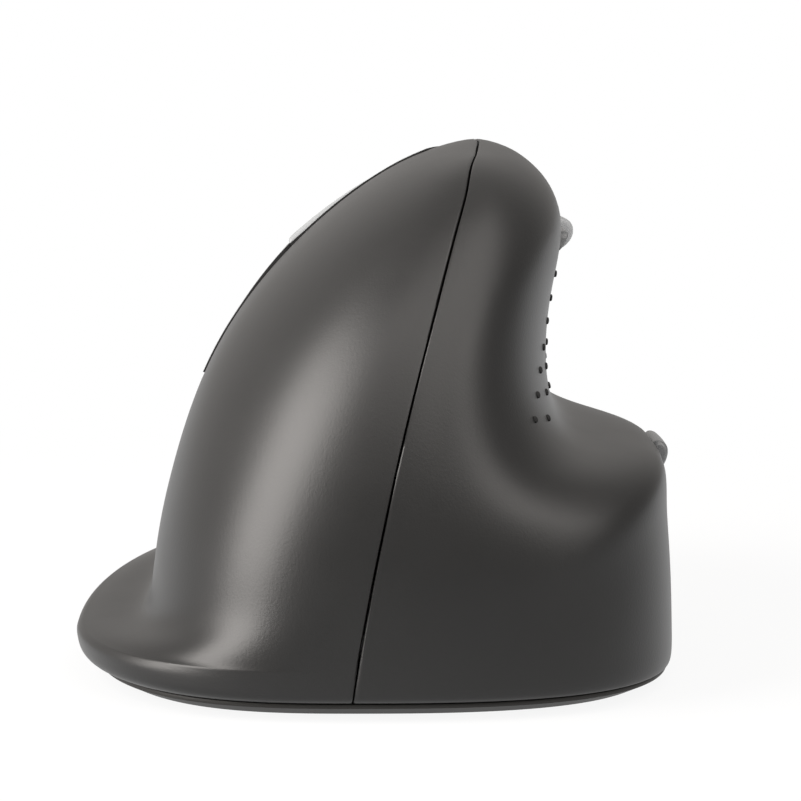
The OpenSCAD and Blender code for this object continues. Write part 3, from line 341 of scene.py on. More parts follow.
def buildBodySkin():
    ringPoint = buildRingPoint()
    tree, ins, outs = newTree("bodySkin", "GeometryNodeTree",
        [("Sheet", "NodeSocketGeometry", None), ("Wall", "NodeSocketFloat", wall),
            ("Seam Half", "NodeSocketFloat", bodyShape["seamGap"] / 2),
            ("Lean From", "NodeSocketFloat", bodyShape["leanFrom"]),
            ("Lean End", "NodeSocketFloat", bodyShape["leanEnd"]), ("Unit", "NodeSocketFloat", mm),
            ("Finish", "NodeSocketMaterial", None)],
        [("Skin", "NodeSocketGeometry")])
    field = {}
    for label in skinFields:
        node = tree.nodes.new("GeometryNodeInputNamedAttribute")
        node.data_type = "FLOAT"
        node.inputs["Name"].default_value = label
        field[label] = node.outputs["Attribute"]
    points = []
    for where in ("out", "in"):
        ring = tree.nodes.new("GeometryNodeGroup")
        ring.node_tree = ringPoint
        for label, value in (("Turn", field["turn"]), ("Side", field["side"]), ("Power", field["power"]),
                ("Half", field[where + "Half"]), ("Reach", field[where + "Reach"]),
                ("Side Level", field[where + "Side"]), ("End Level", field[where + "End"]),
                ("Middle X", field["middleX"]), ("Middle Y", field["middleY"]), ("Seam Half", ins["Seam Half"]),
                ("Lean", field["lean"]), ("Lean From", ins["Lean From"]), ("Lean End", ins["Lean End"])):
            tree.links.new(value, ring.inputs[label])
        points.append(ring.outputs["Point"])
    inward = vectorCalc(tree, "SUBTRACT", points[1], points[0])
    sunk = vectorCalc(tree, "SCALE", inward, calc(tree, "DIVIDE", field["depth"], ins["Wall"]))
    place = vectorCalc(tree, "SCALE", vectorCalc(tree, "ADD", points[0], sunk), ins["Unit"])
    moved = step(tree, "GeometryNodeSetPosition", Geometry=ins["Sheet"], Position=place)
    real = step(tree, "GeometryNodeRealizeInstances", Geometry=moved.outputs[0])
    done = step(tree, "GeometryNodeSetMaterial", Geometry=real.outputs[0], Material=ins["Finish"])
    tree.links.new(done.outputs[0], outs["Skin"])
    return tree


bodySkin = buildBodySkin()


def eased(value, span):
    share = np.clip((value - span[0]) / (span[1] - span[0]), 0, 1)
    return share * share * (3 - 2 * share)


def skinValues(turn, rise, side, depth):
    turn, rise, depth = (np.broadcast_to(np.asarray(a, float), np.broadcast(turn, rise, depth).shape).ravel()
        for a in (turn, rise, depth))
    angle = np.radians(turn)
    right, front = (1 + np.cos(angle)) / 2, (1 + np.sin(angle)) / 2
    heel, nose = bodyShape["squareHeel"], bodyShape["squareNose"]
    low = (1 - front) * (right * heel[0] + (1 - right) * heel[1]) + front * (right * nose[0] + (1 - right) * nose[1])
    middle = splineAt(bodyShape["middle"], rise)
    values = {"turn": angle, "side": np.full(len(turn), side), "depth": depth, "middleX": middle[:, 0],
        "middleY": middle[:, 1], "power": 2 / (low + (bodyShape["squareRidge"] - low) * rise),
        "lean": bodyShape["ridgeLean"] * eased(rise, bodyShape["leanRises"])}
    forward = np.sin(angle) >= 0
    for where, lines in (("out", profiles), ("in", insides)):
        flank = splineAt(lines["left" if side < 0 else "right"], rise)
        heelLine, noseLine = splineAt(lines["heel"], rise), splineAt(lines["nose"], rise)
        values[where + "Half"] = side * (flank[:, 0] - middle[:, 0])
        values[where + "Reach"] = np.where(forward, noseLine[:, 0] - middle[:, 1], middle[:, 1] - heelLine[:, 0])
        values[where + "Side"] = flank[:, 1]
        values[where + "End"] = np.where(forward, noseLine[:, 1], heelLine[:, 1])
    return values


def bent(name, turn, rise, side, depth, faces, finish):
    values = skinValues(turn, rise, side, depth)
    flat = np.stack([values["turn"], np.asarray(rise, float).ravel(), values["depth"]], 1)
    mesh = bpy.data.meshes.new(name)
    mesh.from_pydata(flat.tolist(), [], faces)
    for label in skinFields:
        mesh.attributes.new(label, "FLOAT", "POINT").data.foreach_set("value", values[label].astype(np.float32))
    obj = grown(name, mesh, bodySkin, Wall=wall, Seam_Half=bodyShape["seamGap"] / 2,
        Lean_From=bodyShape["leanFrom"], Lean_End=bodyShape["leanEnd"], Unit=mm, Finish=finish)
    for label in skinFields:
        obj.data.attributes.remove(obj.data.attributes[label])
    return obj


def onBody(turn, rise, side, depth=0.0):
    turn, rise, depth = np.broadcast_arrays(np.asarray(turn, float), rise, depth)
    obj = bent("markPoints", turn, rise, side, depth, [], finishes["coverSatin"])
    co = np.empty(len(obj.data.vertices) * 3, np.float32)
    obj.data.vertices.foreach_get("co", co)
    mesh = obj.data
    bpy.data.objects.remove(obj)
    bpy.data.meshes.remove(mesh)
    return co.astype(float).reshape(*turn.shape, 3) / mm


def slabFaces(keep):
    m, n = keep.shape
    low = (m + 1) * (n + 1)
    index = np.arange(low).reshape(m + 1, n + 1)
    ringed = np.pad(keep, 1)
    faces, walls = [], []
    for i, j in zip(*np.nonzero(keep)):
        a, b, c, d = (int(k) for k in (index[i, j], index[i + 1, j], index[i + 1, j + 1], index[i, j + 1]))
        faces += [(a, b, c, d), (d + low, c + low, b + low, a + low)]
        for beside, (p, q) in (((i + 1, j), (b, a)), ((i + 1, j + 2), (d, c)), ((i, j + 1), (a, d)),
                ((i + 2, j + 1), (c, b))):
            if not ringed[beside]:
                walls.append((p, q, q + low, p + low))
    return faces + walls, len(walls)


def skinSlab(name, turn, rise, side, outer, inner, keep, finish):
    faces, wallCount = slabFaces(keep)
    used, order = np.unique(np.array(faces), return_inverse=True)
    faces = order.reshape(-1, 4).tolist()
    both = [np.concatenate([np.broadcast_to(g, turn.shape).ravel() for g in pair])[used]
        for pair in ((turn, turn), (rise, rise), (outer, inner))]
    obj = bent(name, both[0], both[1], side, both[2], faces, finish)
    # walls are marked as skirt; the keys' finish paints them near-black, partly as painted shade
    skirt = np.zeros(len(faces), np.float32)
    skirt[len(faces) - wallCount:] = 1
    obj.data.attributes.new("skirt", "FLOAT", "FACE").data.foreach_set("value", skirt)
    return obj


def rounded(distance, radius):
    short = np.clip(radius - distance, 0, radius)
    return radius - np.sqrt(radius ** 2 - short ** 2)


def spread(breaks, gap, fine, digits=7):
    values = []
    for a, b in zip(breaks[:-1], breaks[1:]):
        values += np.linspace(a, b, max(1, math.ceil((b - a) / gap)) + 1).tolist()
        for offset in fine:
            if 2 * offset < b - a:
                values += [a + offset, b - offset]
    return np.unique(np.round(values, digits))


# openings in the covers, by turn round the body and rise up it

noseTurn, heelTurn = 90, 270
keyTurns, rearTurns = (115, 180), (177, 167, 152)
keyRises = [riseAt("left", z) for z in (39, 56.2, 69.9)]
sideTurns = (-2, 12.5, 31)
sideRises = [riseAt("right", z) for z in (55.3, 57, 60.5, 60.9)]
backRises, forwardRises = sideRises[1:3], (sideRises[0], sideRises[3])
speedTurns = (4, 12.5)
speedRises = [riseAt("right", z) for z in (26.1, 30.4)]
portTurns = (85.5079, 99.9205)
portRises = (0.186865, 0.281066)
rearLine = np.polyfit(keyRises, rearTurns, 2)


def leant(turn, rise, side):
    # the keys' rear edge leans forward as it climbs, and the turns beside it close up or spread to suit
    turn, rise = np.broadcast_arrays(np.asarray(turn, float), np.asarray(rise, float))
    if side > 0:
        return turn
    front, end = keyTurns
    rear = np.polyval(rearLine, np.clip(rise, keyRises[0], keyRises[2]))
    before = front + (rear - front) * (turn - front) / (end - front)
    after = rear + (heelTurn - rear) * (turn - end) / (heelTurn - end)
    return np.where(turn <= front, turn, np.where(turn < end, before, after))


flangeRim = {"rises": (riseAt("left", 7.05), riseAt("heel", 7.0)), "turns": (180, 262), "nominal": 0.165, "top": 0.34,
    "proud": 0.5, "edge": 0.12, "above": 0.55, "below": 1.4, "start": (108, 150), "end": (236, 267)}
palmCover = {"side": -1, "turns": (noseTurn, portTurns[1], *keyTurns, heelTurn),
    "rises": (0, flangeRim["nominal"], *portRises, keyRises[0], keyRises[2], 1),
    "openings": [(keyTurns, (keyRises[0], keyRises[2])), ((noseTurn, portTurns[1]), portRises)], "rim": flangeRim}
thumbCover = {"side": 1, "turns": sorted({heelTurn - 360, *sideTurns, *speedTurns, portTurns[0], noseTurn}),
    "rises": (0, *portRises, *speedRises, *sideRises, 1),
    "openings": [(sideTurns[:2], backRises), (sideTurns[1:], forwardRises), (speedTurns, speedRises),
        ((portTurns[0], noseTurn), portRises)]}
coverEdges = {"turnGap": 1.7, "riseGap": 0.0085, "lip": 0.3, "seamRound": 0.2, "crease": 42,
    "fineTurns": (0.12, 0.28, 0.5, 0.8, 1.2), "fineRises": (0.0012, 0.0026, 0.0045, 0.007)}


def rimLevels(turn, rise, rim):
    # one line of the grid is drawn along the rim, from the flank to the heel
    nominal, top = rim["nominal"], rim["top"]
    line = nominal + (np.interp(turn, rim["turns"], rim["rises"]) - nominal) * eased(turn, rim["start"])
    under = line * rise / nominal
    over = line + (top - line) * (rise - nominal) / (top - nominal)
    return np.where(rise <= nominal, under, np.where(rise < top, over, rise)), line


def rimDepth(turn, above, rim):
    reach = np.where(above >= 0, rim["above"], rim["below"])
    fade = eased(turn, rim["start"]) * (1 - eased(turn, rim["end"]))
    return -rim["proud"] * fade * np.exp(-np.maximum(np.abs(above) - rim["edge"], 0) / reach)


def makeCover(name, cover, finish):
    turns = spread(cover["turns"], coverEdges["turnGap"], coverEdges["fineTurns"])
    rises = spread(cover["rises"], coverEdges["riseGap"], coverEdges["fineRises"])
    turn, rise = np.meshgrid(turns, rises, indexing="ij")
    rim = cover.get("rim")
    level, line = rimLevels(turn, rise, rim) if rim else (rise, None)
    place = leant(turn, level, cover["side"])
    points = onBody(place, level, cover["side"])
    perTurn = np.linalg.norm(np.gradient(points, turns, axis=0), axis=2)
    perRise = np.linalg.norm(np.gradient(points, rises, axis=1), axis=2)
    middleX = splineAt(bodyShape["middle"], level)[..., 0]
    beyond = np.minimum(points[..., 1] - bodyShape["leanFrom"], bodyShape["leanEnd"])
    leanX = bodyShape["ridgeLean"] * eased(level, bodyShape["leanRises"]) * beyond
    seam = np.abs(points[..., 0] - middleX - leanX) - bodyShape["seamGap"] / 2
    depth = rounded(seam, coverEdges["seamRound"])
    keep = np.ones((len(turns) - 1, len(rises) - 1), bool)
    midTurn, midRise = (turns[1:] + turns[:-1]) / 2, (rises[1:] + rises[:-1]) / 2
    for (a, b), (c, d) in cover["openings"]:
        keep &= ~(((midTurn > a) & (midTurn < b))[:, None] & ((midRise > c) & (midRise < d))[None, :])
        sideways = np.maximum(np.maximum(a - turn, turn - b), 0) * perTurn
        upwards = np.maximum(np.maximum(c - rise, rise - d), 0) * perRise
        depth = np.maximum(depth, rounded(np.hypot(sideways, upwards), coverEdges["lip"]))
    if rim:
        thick = np.linalg.norm(onBody(place, level, cover["side"], wall) - points, axis=2)
        depth = depth + rimDepth(turn, (level - line) * perRise, rim) * wall / thick
    obj = skinSlab(name, place, level, cover["side"], depth, np.full(turn.shape, wall), keep, finish)
    return smoothed(obj, coverEdges["crease"])


piece(makeCover("palmCover", palmCover, finishes["coverSatin"]), "palm_cover")
piece(makeCover("thumbCover", thumbCover, finishes["coverSatin"]), "thumb_cover")


# patches of the skin that stand proud: finger keys and thumb buttons

patchGrid = {"edgeShares": (0, 0.03, 0.1, 0.22, 0.4, 0.65, 1.0), "leastReach": 0.6, "leastEdge": 0.05, "samples": 40,
    "riseProbe": 0.005, "turnProbe": 0.5, "crease": 42}


def edgeSteps(length, radius, count):
    fine = np.array(patchGrid["edgeShares"]) * radius / length
    return np.concatenate([fine, np.linspace(fine[-1], 1 - fine[-1], count + 1)[1:-1], (1 - fine)[::-1]])


def makePatch(name, patch, finish):
    side, turns, rises, gaps = (patch[k] for k in ("side", "turns", "rises", "gaps"))
    middle = np.mean(rises)
    alongTurns, alongRises = np.linspace(*turns, patchGrid["samples"]), np.linspace(*rises, patchGrid["samples"])
    box = (onBody(leant(alongTurns, middle, side), middle, side),
        onBody(leant(np.mean(turns), alongRises, side), alongRises, side))
    width, height = (np.linalg.norm(np.diff(line, axis=0), axis=1).sum() for line in box)
    corners = patch["corners"]
    across = edgeSteps(width, max(patch["edge"], patchGrid["leastReach"]), patch["cells"][0])
    up = edgeSteps(height, max(patch["edge"], max(corners)), patch["cells"][1])
    s, q = np.meshgrid(across, up, indexing="ij")
    rough = turns[0] + (turns[1] - turns[0]) * across

    def riseGap(t, gap):
        place, near = leant(rough, t, side), patchGrid["riseProbe"]
        moved = onBody(place, t + near, side) - onBody(place, t - near, side)
        return gap * 2 * near / np.linalg.norm(moved, axis=1)
    bottom, top = rises[0] + riseGap(rises[0], gaps[2]), rises[1] - riseGap(rises[1], gaps[3])
    rise = bottom[:, None] + (top - bottom)[:, None] * q

    def turnGap(turn, gap):
        near = patchGrid["turnProbe"]
        moved = onBody(turn + near, rise, side) - onBody(turn - near, rise, side)
        return gap * 2 * near / np.linalg.norm(moved, axis=2)
    start, end = leant(turns[0], rise, side), leant(turns[1], rise, side)
    start, end = start + turnGap(start, gaps[0]), end - turnGap(end, gaps[1])
    lowSide = q < 0.5
    beside = np.minimum(q, 1 - q) * height
    startRound = np.where(lowSide, corners[0], corners[1])
    endRound = np.where(lowSide, corners[2], corners[3])
    startIn, endIn = rounded(beside, startRound), rounded(beside, endRound)
    along = (startIn + s * (width - startIn - endIn)) / width
    turn = start + (end - start) * along
    a, b = along * width, q * height
    nearRound = np.where(along < 0.5, startRound, endRound)
    inX, inY = np.minimum(a, width - a), np.minimum(b, height - b)
    cornerGap = nearRound - np.hypot(nearRound - inX, nearRound - inY)
    inside = np.where((inX < nearRound) & (inY < nearRound), cornerGap, np.minimum(inX, inY))
    proud = patch["proud"](along, q)
    edge = np.minimum(patch["edge"], np.maximum(proud - patch["lip"], patchGrid["leastEdge"]))
    outer = rounded(np.maximum(inside, 0), edge) - proud
    keep = np.ones((len(across) - 1, len(up) - 1), bool)
    return skinSlab(name, turn, rise, side, outer, np.full(turn.shape, patch["inner"]), keep, finish)


def frameMatrix(origin, turn, tilt):
    turn, tilt = math.radians(turn), math.radians(tilt)
    return Matrix.Translation(Vector(origin) * mm) @ Matrix.Rotation(turn, 4, "Z") @ Matrix.Rotation(-tilt, 4, "Y")


slopeFrame = frameMatrix((-10.5101, 0, 58.6), 0, 45)
sideFrame = frameMatrix((26.0185, 6.3559, 58.1728), 11.0294, 2.17733)
speedFrame = frameMatrix((40.5374, -3.33303, 28.4596), 11.9924, 29.251)


def fromBmesh(name, bm, finish=None):
    mesh = bpy.data.meshes.new(name)
    bm.to_mesh(mesh)
    bm.free()
    if finish:
        mesh.materials.append(finish)
    return mesh


atOrigin = Matrix.Identity(4)


def addRing(bm, outline, z, place):
    return [bm.verts.new(place @ (Vector((x, y, z)) * mm)) for x, y in outline]


def joinRings(bm, rings):
    count = len(rings[0])
    for lower, upper in zip(rings[:-1], rings[1:]):
        for k in range(count):
            corners = lower[k], lower[(k + 1) % count], upper[(k + 1) % count], upper[k]
            bm.faces.new(list(dict.fromkeys(corners)))  # at a pole two corners are one


def addProfile(bm, outline, low, high, place=atOrigin):
    # a flat outline in millimetres, drawn up from low to high and put in its frame
    rings = [addRing(bm, outline, z, place) for z in (low, high)]
    bm.faces.new(rings[0][::-1])
    bm.faces.new(rings[1])
    joinRings(bm, rings)


def roundBox(x0, x1, y0, y1, radius, count=8):
    out = []
    for cx, cy, first in ((x1 - radius, y1 - radius, 0), (x0 + radius, y1 - radius, 90),
            (x0 + radius, y0 + radius, 180), (x1 - radius, y0 + radius, 270)):
        for k in range(count + 1):
            angle = math.radians(first + 90 * k / count)
            out.append((cx + radius * math.cos(angle), cy + radius * math.sin(angle)))
    return out


def cutBy(obj, *cutters):
    for cutter in cutters:
        modifier = obj.modifiers.new("cut", "BOOLEAN")
        modifier.operation = "DIFFERENCE"
        modifier.solver = "EXACT"
        modifier.object = cutter
        settled(obj)
        mesh = cutter.data
        bpy.data.objects.remove(cutter)
        bpy.data.meshes.remove(mesh)
    return obj


def crowned(full, least, share):
    # proud by full at one edge, sinking evenly to least where the share is used up
    return np.maximum(least, full + (least - full) * share)


# local x and y become y and z, so that an outline is drawn out along x
alongX = Matrix(((0, 0, 1, 0), (1, 0, 0, 0), (0, 1, 0, 0), (0, 0, 0, 1)))


def addTurned(bm, profile, count, place=atOrigin):
    # a profile of radius and height, turned about Z; points with no radius are poles
    rings = []
    for r, z in profile:
        sides = count if r else 1
        turns = [2 * math.pi * k / count for k in range(sides)]
        rings.append(addRing(bm, [(r * math.cos(a), r * math.sin(a)) for a in turns], z, place) * (count // sides))
    joinRings(bm, rings)


stemEdge = ((0.3, 0), (0.08, 0.1), (0, 0.3))  # how far in and up the foot of a stem is rounded
stemSides = 28


def addStem(bm, radius, foot, top, place):
    profile = [(0, foot), *((radius - inward, foot + up) for inward, up in stemEdge), (radius, top), (0, top)]
    addTurned(bm, profile, stemSides, place)


mergeReach = 1e-7


def addBehind(obj, build, patch):
    # moulded parts on the hidden side, marked as the walls are
    bm = bmesh.new()
    build(bm, patch)
    bmesh.ops.remove_doubles(bm, verts=bm.verts, dist=mergeReach)
    bmesh.ops.recalc_face_normals(bm, faces=bm.faces)
    extra = fromBmesh("behind", bm)
    bm = bmesh.new()
    bm.from_mesh(obj.data)
    first = len(bm.faces)
    bm.from_mesh(extra)
    skirt = bm.faces.layers.float["skirt"]
    bm.faces.ensure_lookup_table()
    for face in bm.faces[first:]:
        face[skirt] = 1
    bm.to_mesh(obj.data)
    bm.free()
    bpy.data.meshes.remove(extra)


keyHinge = {"rod": (1.8, -9.5), "lug": 2.4, "bore": 1.3, "half": 1.3, "edge": 0.2, "sides": 36, "sink": 0.9,
    "room": 3.5, "neck": (1.0, 3.8), "neckRound": 0.3, "foot": 1.7, "armLow": -1.2, "armRound": 0.4, "roundSteps": 4,
    "stem": 1.6, "stemFoot": -7.1}


def addKeyBack(bm, patch):
    h = keyHinge
    (y, z), half, lug, edge = h["rod"], h["half"], h["lug"], h["edge"]
    side = [(h["bore"], -half), (lug - edge, -half), (lug, edge - half)]
    ring = side + [(r, -level) for r, level in side[::-1]] + side[:1]
    for x, edgeY, edgeZ in patch["lugs"]:
        addTurned(bm, ring, h["sides"], slopeFrame @ Matrix.Translation(Vector((x, y, z)) * mm) @ alongX)
        near, far = (edgeY + reach for reach in h["neck"])
        outlines = [roundBox(near, far, z + h["foot"], edgeZ - h["sink"], h["neckRound"], h["roundSteps"])]
        if far > y + lug:  # an arm reaches back to the rod
            outlines.append(roundBox(y + h["foot"], far, z + h["armLow"], edgeZ - h["room"], h["armRound"],
                h["roundSteps"]))
        for outline in outlines:
            addProfile(bm, outline, x - half, x + half, slopeFrame @ alongX)
    x, y, z = patch["stem"]
    addStem(bm, h["stem"], h["stemFoot"], z - h["sink"], slopeFrame @ Matrix.Translation(Vector((x, y, 0)) * mm))


fingerKeys = {
    "index_key": {"side": -1, "turns": keyTurns, "rises": keyRises[1:], "gaps": (0.9, 0.5, 0.25, 0.5),
        "proud": lambda s, k: crowned(1.15, 0.3, k / 0.6), "lip": 0.28, "inner": 1.4, "edge": 0.7,
        "corners": (0.5, 1.6, 0.5, 1.6), "cells": (40, 26), "slot": (-18.4, 4.724),
        "lugs": [(5.5, 9.6444, -0.8816), (16.8, 12.6876, -3.3353)], "stem": (12.4, 16.3664, -2.65215)},
    "middle_key": {"side": -1, "turns": keyTurns, "rises": keyRises[:2], "gaps": (0.9, 0.5, 0.5, 0.25),
        "proud": lambda s, k: crowned(0.6, 0.28, (1 - k) / 0.45), "lip": 0.5, "inner": 1.4, "edge": 0.7,
        "corners": (1.6, 0.5, 1.6, 0.5), "cells": (40, 26), "slot": (-3.676, 18.4),
        "lugs": [(-14, 0.0406, -1.0203), (-5.5, 4.8461, -0.2875)], "stem": (-13, 19.863, -3.10859)},
}
wheelSlot = {"rear": 17.198, "front": 43.57, "corner": 2.0, "span": (-9, 6)}

for name, patch in fingerKeys.items():
    key = makePatch(name.replace("_key", "Key"), patch, finishes["keyCoat"])
    bm = bmesh.new()
    outline = roundBox(*patch["slot"], wheelSlot["rear"], wheelSlot["front"], wheelSlot["corner"])
    addProfile(bm, outline, *wheelSlot["span"], slopeFrame)
    slotCutter = fromBmesh("slotCutter", bm)
    # the slot's walls are marked as walls too, so they take the same near-black colour, partly painted shade
    slotCutter.attributes.new("skirt", "FLOAT", "FACE").data.foreach_set("value", [1.0] * len(slotCutter.polygons))
    cutBy(key, newObject("slotCutter", slotCutter))
    addBehind(key, addKeyBack, patch)
    piece(smoothed(key, patchGrid["crease"]), name, name)

# the back and speed buttons take the darker copy of the button grey, which is painted shade
thumbButtons = {
    "forward_button": {"side": 1, "turns": sideTurns[1:], "rises": forwardRises, "gaps": (0.2, 0.4, 0.4, 0.4),
        "proud": lambda s, k: 3.1 * np.sqrt(1 - 0.9 * (2 * k - 1) ** 2) * (1 - 0.5 * s), "lip": 0.1,
        "inner": 2.8, "edge": 0.9, "corners": (0.6, 0.9, 1.5, 1.5), "cells": (24, 14),
        "frame": sideFrame, "stem": (-1.57395, 6.68968, -0.115155), "finish": "buttonPale"},
    "back_button": {"side": 1, "turns": sideTurns[:2], "rises": backRises, "gaps": (0.4, 0.2, 0.4, 0.4),
        "proud": lambda s, k: 1.3 * (1 - 0.9 * (1 - k) ** 2) * (1 - 0.85 * s), "lip": 0.1,
        "inner": 2.8, "edge": 0.8, "corners": (1.2, 1.2, 0.6, 0.8), "cells": (24, 14),
        "frame": sideFrame, "stem": (-3.00037, -5.74008, 0.633885), "finish": "buttonSatin"},
    "speed_button": {"side": 1, "turns": speedTurns, "rises": speedRises, "gaps": (0.4,) * 4,
        "proud": lambda s, k: 1.3 * (0.35 + 0.65 * np.sin(np.pi * k)), "lip": 0.1,
        "inner": 2.8, "edge": 0.7, "corners": (1.0,) * 4, "cells": (30, 16),
        "frame": speedFrame, "stem": (-2.45636, 0, 0), "finish": "buttonSatin"},
}
buttonStem = {"radius": 1.6, "foot": -4.4}


def addButtonBack(bm, patch):
    x, y, z = patch["stem"]
    place = patch["frame"] @ Matrix.Translation(Vector((0, y, z)) * mm) @ alongX
    addStem(bm, buttonStem["radius"], buttonStem["foot"], x, place)


for name, patch in thumbButtons.items():
    button = makePatch(name.replace("_button", "Button"), patch, finishes[patch["finish"]])
    addBehind(button, addButtonBack, patch)
    piece(smoothed(button, patchGrid["crease"]), name, name)


# base plate: rings round the covers' lower edge, then holes

basePlate = {"inset": 0.4, "taper": 2.4, "footHeight": 0.5, "floor": 2.4, "thick": 1.9, "lipHeight": 3.0,
    "lipThick": 1.2, "sideFit": 0.3, "round": 0.45, "toe": 0.11, "soft": 0.06, "turnStep": 2.0, "crease": 35}
coverScrews = [(-15.0647, 42.2627), (-21.7712, -39.084), (21.6602, 39.0758), (28.6944, -42.4673)]
frameScrews = [(-17.6, -5.15), (-17.6, 31.85), (14.6, -5.15), (14.6, 31.85)]
# head, shank and boss: radius, then the heights between which it is cut
baseHoles = {"head": (2.05, -1, 1.6), "shank": (1.15, -2, 3.0), "boss": (3.3, 2.4, 13), "window": (-1.5, 19, 4),
    "slot": (-4.12, 1.68, 43.1046, 46.5046), "slotRound": 0.6, "through": (-1, 3.4), "sides": 40}


def edgeRing(where, inset, z, count):
    turn = np.arange(count) * 360 / count
    angle = np.radians(turn)
    values = {side: skinValues(turn, np.zeros(count), side, 0) for side in (-1, 1)}
    side = np.where(np.cos(angle) < 0, -1, 1)
    half = np.where(side < 0, values[-1][where + "Half"], values[1][where + "Half"]) - inset
    reach = values[1][where + "Reach"] - inset
    power = values[1]["power"]
    middle = bodyShape["middle"][0]
    x = middle[0] + side * half * np.abs(np.cos(angle)) ** power
    y = middle[1] + np.sign(np.sin(angle)) * reach * np.abs(np.sin(angle)) ** power
    return np.stack([x, y, np.full(count, z)], 1)


def bored(places, radius, low, high):
    turns = np.linspace(0, 2 * math.pi, baseHoles["sides"] + 1)[:-1]
    return [([(x + radius * math.cos(a), y + radius * math.sin(a)) for a in turns], low, high) for x, y in places]


def newCutter(name, rows):
    bm = bmesh.new()
    for outline, low, high in rows:
        addProfile(bm, outline, low, high)
    return newObject(name, fromBmesh(name, bm))


def makeBase():
    b, h = basePlate, baseHoles
    count = int(360 / b["turnStep"])
    low, floor, edge, r, toe, soft = (b[k] for k in ("footHeight", "floor", "inset", "round", "toe", "soft"))
    shelf, lipTop, full = floor - b["thick"] / 3, floor + b["lipHeight"], edge + b["taper"]
    slant = (shelf - low) / b["taper"]
    fit, lip = b["sideFit"], b["sideFit"] + b["lipThick"]
    # inset and height of each ring; the small steps round the edges
    outer = [(full + 1.2, low), (full + r, low), (full + r * 0.45, low + 0.03), (full, low + toe),
        (full - r * 0.6, low + toe + r * 0.6 * slant), (edge + 0.3, shelf - 0.25 * slant), (edge + soft, shelf),
        (edge, shelf + 0.15), (edge, floor - 0.2), (edge + soft, floor - soft), (edge + 0.2, floor)]
    inner = [(fit, floor), (fit, lipTop - 0.3), (fit + 0.1, lipTop - 0.08), (fit + 0.3, lipTop), (lip - 0.2, lipTop),
        (lip, lipTop - 0.2), (lip, floor)]
    rings = [edgeRing("out", *row, count) for row in outer] + [edgeRing("in", *row, count) for row in inner]
    bm = bmesh.new()
    loops = [[bm.verts.new(Vector(p) * mm) for p in ring] for ring in rings]
    bm.faces.new(loops[0][::-1])
    bm.faces.new(loops[-1])
    joinRings(bm, loops)
    bmesh.ops.recalc_face_normals(bm, faces=bm.faces)
    obj = newObject("basePlate", fromBmesh("basePlate", bm, finishes["plateMatt"]))
    screws = coverScrews + frameScrews
    x, y, radius = h["window"]
    wide = bored(screws, *h["head"]) + bored([(x, y)], radius, *h["through"])
    wide.append((roundBox(*h["slot"], h["slotRound"]), *h["through"]))
    cutters = [newCutter("wideHoles", wide), newCutter("shankHoles", bored(screws, *h["shank"])),
        newCutter("bossRoom", bored(coverScrews, *h["boss"]))]
    return smoothed(cutBy(obj, *cutters), b["crease"])


piece(makeBase(), "base_plate")


# what repeats: one tree puts a shape on marked points, one turns a shape round an axle

def buildOnMarks():
    tree, ins, outs = newTree("onMarks", "GeometryNodeTree",
        [("Marks", "NodeSocketGeometry", None), ("Shape", "NodeSocketObject", None), ("Size", "NodeSocketFloat", 1.0),
            ("Finish", "NodeSocketMaterial", None)], [("Set", "NodeSocketGeometry")])
    facing = tree.nodes.new("GeometryNodeInputNamedAttribute")
    facing.data_type = "FLOAT_VECTOR"
    facing.inputs["Name"].default_value = "facing"
    aim = tree.nodes.new("FunctionNodeAlignRotationToVector")
    aim.axis = "Z"
    tree.links.new(facing.outputs["Attribute"], aim.inputs["Vector"])
    shape = step(tree, "GeometryNodeObjectInfo", Object=ins["Shape"])
    dots = step(tree, "GeometryNodeMeshToPoints", Mesh=ins["Marks"])
    placed = step(tree, "GeometryNodeInstanceOnPoints", Points=dots.outputs[0], Instance=shape.outputs["Geometry"],
        Rotation=aim.outputs[0], Scale=step(tree, "ShaderNodeCombineXYZ", X=ins["Size"], Y=ins["Size"],
            Z=ins["Size"]).outputs[0])
    real = step(tree, "GeometryNodeRealizeInstances", Geometry=placed.outputs[0])
    done = step(tree, "GeometryNodeSetMaterial", Geometry=real.outputs[0], Material=ins["Finish"])
    tree.links.new(done.outputs[0], outs["Set"])
    return tree


def buildRoundAxle():
    tree, ins, outs = newTree("roundAxle", "GeometryNodeTree",
        [("Segment", "NodeSocketGeometry", None), ("Count", "NodeSocketInt", 40), ("Merge", "NodeSocketFloat", 0.00001),
            ("Finish", "NodeSocketMaterial", None)],
        [("Ring", "NodeSocketGeometry")])
    dots = step(tree, "GeometryNodePoints", Count=ins["Count"])
    index = tree.nodes.new("GeometryNodeInputIndex").outputs[0]
    angle = calc(tree, "DIVIDE", calc(tree, "MULTIPLY", index, 2 * math.pi), ins["Count"])
    turned = step(tree, "ShaderNodeCombineXYZ", X=angle)
    placed = step(tree, "GeometryNodeInstanceOnPoints", Points=dots.outputs[0], Instance=ins["Segment"],
        Rotation=turned.outputs[0])
    real = step(tree, "GeometryNodeRealizeInstances", Geometry=placed.outputs[0])
    whole = step(tree, "GeometryNodeMergeByDistance", Geometry=real.outputs[0], Distance=ins["Merge"])
    done = step(tree, "GeometryNodeSetMaterial", Geometry=whole.outputs[0], Material=ins["Finish"])
    tree.links.new(done.outputs[0], outs["Ring"])
    return tree


onMarks = buildOnMarks()
roundAxle = buildRoundAxle()


def turnedShape(name, profile, count):
    bm = bmesh.new()
    addTurned(bm, profile, count)
    bmesh.ops.recalc_face_normals(bm, faces=bm.faces)
    return fromBmesh(name, bm)


